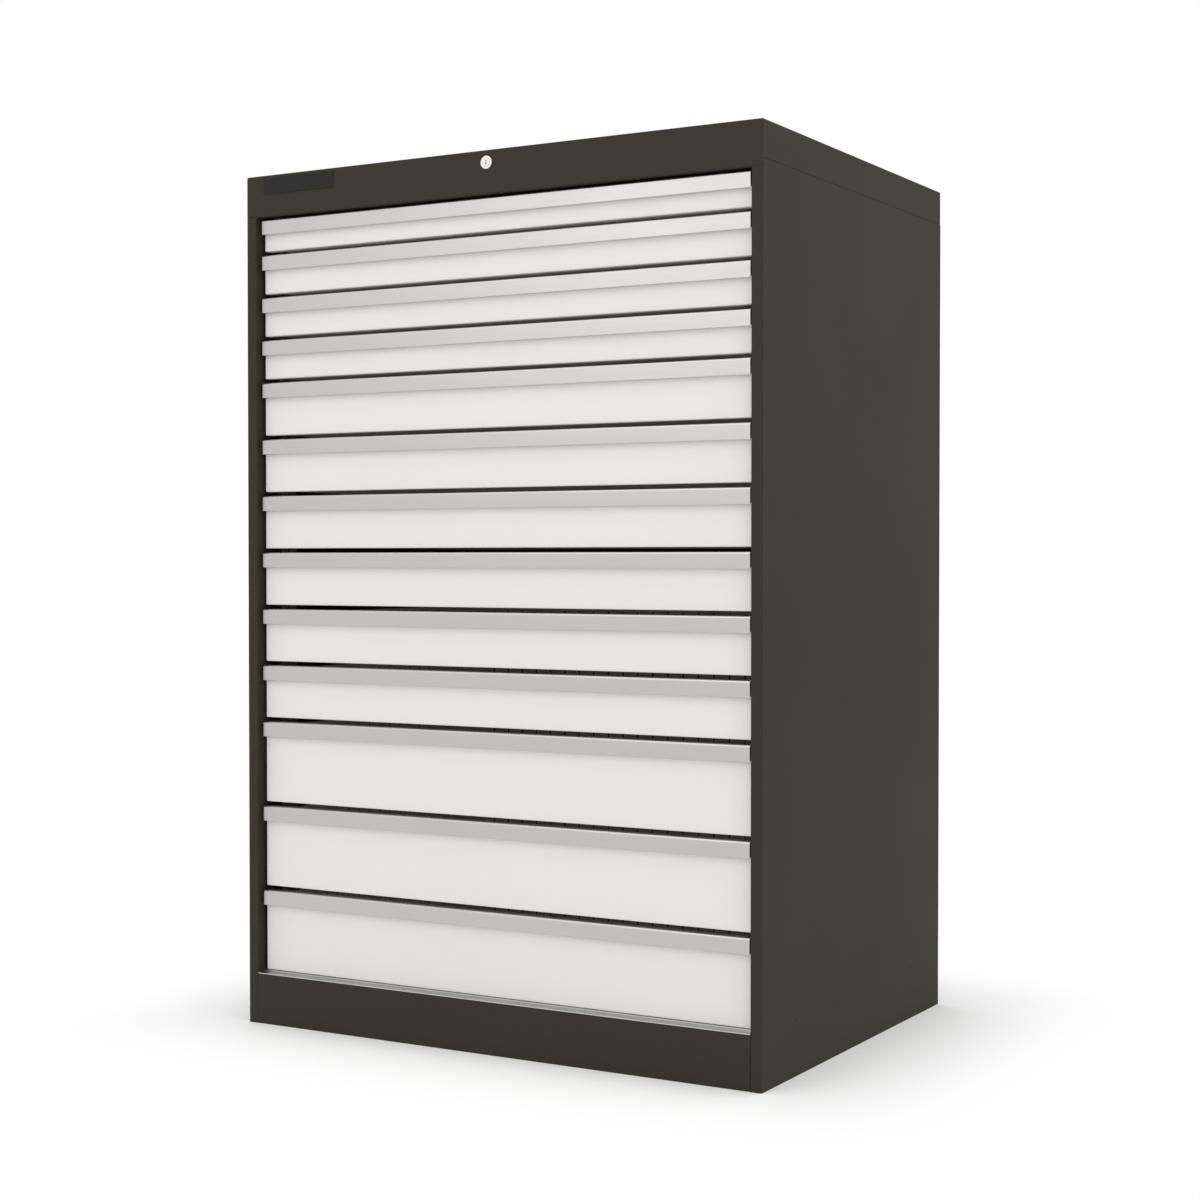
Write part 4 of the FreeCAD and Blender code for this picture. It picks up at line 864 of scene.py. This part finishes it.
def tray_shape(foot, head, sizes):
    """A tray: floor, walls and lip from one sheet, with divider slits in the walls and slots in the floor."""
    bend = sizes.tray_bend * 1000
    pitch, width = sizes.slit_pitch * 1000, sizes.slit_width * 1000
    low, high = np.array([-TRAY_SIDE, TRAY_FRONT]), np.array([TRAY_SIDE, TRAY_BACK])
    bottom, top = foot + TRAY_RISE, head - TRAY_TOP_GAP
    end_space, slit_inset, floor_border, corner, rim = 60, 9, 8, 3.0, 0.5
    slits = []
    for lowest, highest in zip(low, high):
        count = int((highest - lowest - end_space) // pitch)
        slits.append((lowest + highest) / 2 + (np.arange(count) - (count - 1) / 2) * pitch)
    marks = tuple(np.sort(np.concatenate([s - width / 2, s + width / 2])) for s in slits)
    border = bend + floor_border
    slit_low, slit_high = bottom + slit_inset, top - slit_inset
    lip = (sizes.tray_lip + sizes.front_sheet) * 1000
    rows = [(lip, top), (bend + rim, top)] + over(bend, top) + [(0, slit_high), (0, slit_low)]
    rows += under(bend, bottom) + [(border, bottom)]
    walls = shell(low, high, rows, corner, marks, filled=False)
    xs = np.concatenate([[low[0] + border], marks[0], [high[0] - border]])
    ys = np.concatenate([[low[1] + border], marks[1], [high[1] - border]])
    floor = placed("Z", xs[:, None], ys[None], bottom).reshape(-1, 3), [grid_faces(len(xs), len(ys))]
    half = width / 2
    boxes = [((x - half, low[1] - NEAR, slit_low), (x + half, high[1] + NEAR, slit_high)) for x in slits[0]]
    boxes += [((low[0] - NEAR, y - half, slit_low), (high[0] + NEAR, y + half, slit_high)) for y in slits[1]]
    slots = [
        ((x - half, y0 + half, bottom - NEAR), (x + half, y1 - half, bottom + NEAR))
        for x in slits[0]
        for y0, y1 in zip(slits[1][::2], slits[1][1::2])
    ]
    return joined(punched(walls, boxes), punched(floor, slots))


class CABINET_OT_drawers(CabinetOperator, bpy.types.Operator):
    """Folds the drawers: front pan, slotted tray, drawer rails with rollers, and the lock's catch plate"""

    bl_idname = "cabinet.drawers"
    bl_label = "Drawers"

    def build(self, sizes):
        bend, rear_bend, flange = sizes.front_bend * 1000, 1.8, 12.0
        handle_plate = 2.1
        catch_end, catch_front, catch_sheet, catch_rise, catch_height = 478, FRONT + 57, 4, 50, 10
        sheet = sizes.front_sheet
        seat = TRAY_SIDE + sizes.rail_sheet * 1000 + ROLLER_PLAY
        for drawer in DRAWERS:
            low, high = node_box(drawer)
            foot, head = drawer_place(drawer)
            face = low[1]
            top = head - HANDLE_GAP - handle_plate
            rows = [(bend + RIM, -face)] + over(bend, -face)
            rows += under(rear_bend, -TRAY_FRONT) + [(flange, -TRAY_FRONT)]
            pan = shell((low[0], low[2]), (high[0], top), rows, bend, up="-Y")
            make(f"{drawer}_front", pan, "drawer_paint", drawer, (drawer,), sheet=sheet, edge=sizes.edge / 2)
            tray = tray_shape(foot, head, sizes)
            make(f"{drawer}_tray", tray, "drawer_paint", drawer, (drawer,), sheet=sheet)

            z = foot + SLIDE_RISE
            rails = both_sides(folded("Y", rail_section(TRAY_SIDE, RAIL_WIDTH, z), (SLIDE_START, TRAY_BACK)))
            make(f"{drawer}_rails", rails, "zinc_steel", drawer, (drawer,), sheet=sizes.rail_sheet)
            low_edge = foot + catch_rise
            corner = (catch_end, catch_front + catch_sheet, low_edge + catch_height)
            catch = blocks(((TRAY_SIDE, catch_front, low_edge), corner))
            make(f"{drawer}_catch", catch, "zinc_steel", drawer, (drawer,), edge=sizes.edge * 2, closed=True)
            wheels = both_sides(copies(roller(MEMBER_ROLLER, 1), (seat, TRAY_BACK - RAIL_HALF, z)))
            make(f"{drawer}_rollers", wheels, "bearing_steel", drawer, (drawer,), closed=True)


def handle_sections(top, wall):
    """The handle's outline, with a half-round finger groove r (cos a, sin a) in its foot, and its hollow."""
    face, back, rear = FRONT + 9.5, FRONT + 17.4, TRAY_FRONT
    foot, plate = top - 26.4, top - 2.0
    corners = [(back, foot), (back, plate), (rear, plate), (rear, top), (face, top), (face, foot)]
    radii = [0.3, 0.4, 0.4, 0.7, 3.4, 0.7]
    middle, groove = (face + back) / 2, 2.6
    a = np.linspace(math.pi, 0, 13)[:, None]
    arc = np.hstack([middle + groove * np.cos(a), foot + groove * np.sin(a)])
    outline = np.concatenate([rounded(corners, radii, closed=True), arc])
    start, end, floor = face + wall, back - wall, foot + 4.6
    hollow = [(start, floor), (end, floor), (end, plate), (start, plate)]
    return outline, rounded(hollow, 0.6, closed=True, steps=2)


class CABINET_OT_handles(CabinetOperator, bpy.types.Operator):
    """Extrudes the full-width aluminium handles"""

    bl_idname = "cabinet.handles"
    bl_label = "Handles"

    def build(self, sizes):
        for drawer in DRAWERS:
            node = drawer.replace("drawer", "handle")
            low, high = node_box(node)
            outline, hollow = handle_sections(high[2], sizes.handle_wall * 1000)
            bar = prism("X", outline, low[0], high[0], hollow)
            make(f"{node}_section", bar, "handle_aluminium", drawer, (node,), edge=sizes.edge, closed=True)


class CABINET_OT_stage(bpy.types.Operator):
    """Lays the pale floor, hangs the soft lights and sets the camera"""

    bl_idname = "cabinet.stage"
    bl_label = "Stage"
    bl_options = {"REGISTER", "UNDO"}

    def execute(self, context):
        stage = context.scene.cabinet_stage
        camera = bpy.data.objects.new("camera", bpy.data.cameras.new("camera"))
        camera.location = stage.camera_place
        camera.rotation_euler = stage.camera_turn
        camera.data.lens = stage.lens
        camera.data.sensor_width = 36
        camera.data.clip_end = 60
        context.scene.collection.objects.link(camera)
        context.scene.camera = camera
        context.scene.view_settings.view_transform = "Standard"

        half, lines = 7000, 15
        reach = np.linspace(-half, half, lines)
        points = placed("Z", reach[:, None], reach[None], 0.0).reshape(-1, 3)
        mesh = bpy.data.meshes.new("floor")
        mesh.from_pydata((points / 1000).tolist(), [], grid_faces(lines, lines)[:, ::-1].tolist())
        ground = bpy.data.objects.new("floor", mesh)
        mesh.materials.append(floor_material((SIDE / 1000, BACK / 1000, 0)))
        context.scene.collection.objects.link(ground)

        light_world(context.scene, stage.room_light)
        # Softboxes: place, the point they face, width and height in metres, and radiance
        hang_light("key_softbox", (-1.45, -4.0, 2.15), (0.1, -0.4, 0.9), 1.7, 1.7, stage.key_light)
        hang_light("top_softbox", (0.5, -1.0, 3.3), (0.5, -0.9, 0.0), 4.6, 4.8, stage.top_light)
        warm = (1.0, 0.82, 0.58)
        hang_light("side_softbox", (3.2, -1.2, 1.3), (0.5, -0.1, 0.6), 1.6, 2.2, stage.side_light, warm)
        # A trace of light that nothing blocks, so that the gaps between the drawers aren't black
        hang_light("low_softbox", (0, -0.1, -0.9), (0, -0.1, 0), 2.4, 1.6, stage.low_light, shadow=False)
        return {"FINISHED"}


def ray_share(tree, *kinds):
    """1 where the ray is of one of the kinds, given as outputs of the Light Path node, and 0 where not."""
    path = add(tree, "ShaderNodeLightPath")
    share = path.outputs[kinds[0]]
    for kind in kinds[1:]:
        either = add(tree, "ShaderNodeMath", {"operation": "MAXIMUM"}, {0: share, 1: path.outputs[kind]})
        share = either.outputs[0]
    return share


def floor_material(half):
    """Matt white paper. Away from the cabinet's foot, which reaches half its size from the middle, it fades
    to the plain white of the background."""
    material = bpy.data.materials.new("white_paper")
    material.use_nodes = True
    tree = material.node_tree
    tree.nodes.clear()
    place = add(tree, "ShaderNodeTexCoord").outputs["Object"]
    fibre = add(tree, "ShaderNodeTexNoise", inputs={"Vector": place, "Scale": 400.0, "Detail": 2.0})
    tint = add(
        tree,
        "ShaderNodeMix",
        {"data_type": "RGBA"},
        {0: fibre.outputs[0], COLOUR_A: (*linear("f7f7f7"), 1), COLOUR_B: (*linear("f9f9f9"), 1)},
    )
    matt = add(tree, "ShaderNodeBsdfDiffuse", inputs={"Color": tint.outputs[2]})
    white = add(tree, "ShaderNodeEmission", inputs={"Color": (1, 1, 1, 1), "Strength": 1.0})

    # Distance from the foot: the length of the part of the place that lies beyond it
    vector = "ShaderNodeVectorMath"
    quarter = add(tree, vector, {"operation": "ABSOLUTE"}, {0: place})
    beyond = add(tree, vector, {"operation": "SUBTRACT"}, {0: quarter.outputs[0], 1: half})
    outside = add(tree, vector, {"operation": "MAXIMUM"}, {0: beyond.outputs[0], 1: (0, 0, 0)})
    distance = add(tree, vector, {"operation": "LENGTH"}, {0: outside.outputs[0]})
    fade_start, fade_end = -0.06, 0.36
    far = add(
        tree,
        "ShaderNodeMapRange",
        {"interpolation_type": "SMOOTHSTEP"},
        {0: distance.outputs[1], 1: fade_start, 2: fade_end},
    )
    seen = ray_share(tree, "Is Camera Ray", "Is Glossy Ray")
    share = add(tree, "ShaderNodeMath", {"operation": "MULTIPLY"}, {0: far.outputs[0], 1: seen})
    mixed = add(
        tree, "ShaderNodeMixShader", inputs={0: share.outputs[0], 1: matt.outputs[0], 2: white.outputs[0]}
    )
    add(tree, "ShaderNodeOutputMaterial", inputs={0: mixed.outputs[0]})
    return material


def light_world(scene, strength):
    """White where the camera and reflections see it, and an even grey light for everything else."""
    world = bpy.data.worlds.new("studio")
    world.use_nodes = True
    tree = world.node_tree
    tree.nodes.clear()
    seen = ray_share(tree, "Is Camera Ray", "Is Glossy Ray", "Is Transmission Ray")
    even = add(tree, "ShaderNodeBackground", inputs={"Color": (1, 1, 1, 1), "Strength": strength})
    white = add(tree, "ShaderNodeBackground", inputs={"Color": (1, 1, 1, 1), "Strength": 1.0})
    mixed = add(tree, "ShaderNodeMixShader", inputs={0: seen, 1: even.outputs[0], 2: white.outputs[0]})
    add(tree, "ShaderNodeOutputWorld", inputs={0: mixed.outputs[0]})
    scene.world = world


def hang_light(name, place, target, width, height, radiance, tint=(1, 1, 1), shadow=True):
    """A softbox whose surface has this radiance: power = radiance x pi x area."""
    light = bpy.data.lights.new(name, "AREA")
    light.color = tint
    light.use_shadow = shadow
    light.shape = "RECTANGLE"
    light.size, light.size_y = width, height
    light.energy = radiance * math.pi * width * height
    holder = bpy.data.objects.new(name, light)
    holder.location = place
    holder.rotation_euler = (Vector(target) - Vector(place)).to_track_quat("-Z", "Y").to_euler()
    holder.visible_camera = False
    bpy.context.scene.collection.objects.link(holder)


OPERATORS = (
    CABINET_OT_side_panels,
    CABINET_OT_top_cap,
    CABINET_OT_plinth,
    CABINET_OT_carcass,
    CABINET_OT_fasteners,
    CABINET_OT_bare_plate,
    CABINET_OT_lock,
    CABINET_OT_cabinet_rails,
    CABINET_OT_slides,
    CABINET_OT_drawers,
    CABINET_OT_handles,
    CABINET_OT_stage,
)
GROUPS = (
    (CabinetSizes, "cabinet_sizes"),
    (CabinetColours, "cabinet_colours"),
    (CabinetStage, "cabinet_stage"),
)


class CABINET_PT_pieces(bpy.types.Panel):
    """Sizes, colours and pieces of the cabinet"""

    bl_label = "Drawer Cabinet"
    bl_idname = "CABINET_PT_pieces"
    bl_space_type = "VIEW_3D"
    bl_region_type = "UI"
    bl_category = "Cabinet"

    def draw(self, context):
        for group, name in GROUPS:
            box = self.layout.box()
            for prop in group.__annotations__:
                box.prop(getattr(context.scene, name), prop)
        for operator in OPERATORS:
            self.layout.operator(operator.bl_idname)


def register():
    for group, name in GROUPS:
        bpy.utils.register_class(group)
        setattr(bpy.types.Scene, name, PointerProperty(type=group))
    for cls in (*OPERATORS, CABINET_PT_pieces):
        bpy.utils.register_class(cls)


def unregister():
    for cls in (CABINET_PT_pieces, *reversed(OPERATORS)):
        bpy.utils.unregister_class(cls)
    for group, name in reversed(GROUPS):
        delattr(bpy.types.Scene, name)
        bpy.utils.unregister_class(group)


def main():
    register()
    for operator in OPERATORS:
        group, call = operator.bl_idname.split(".")
        getattr(getattr(bpy.ops, group), call)()


if __name__ == "__main__":
    main()
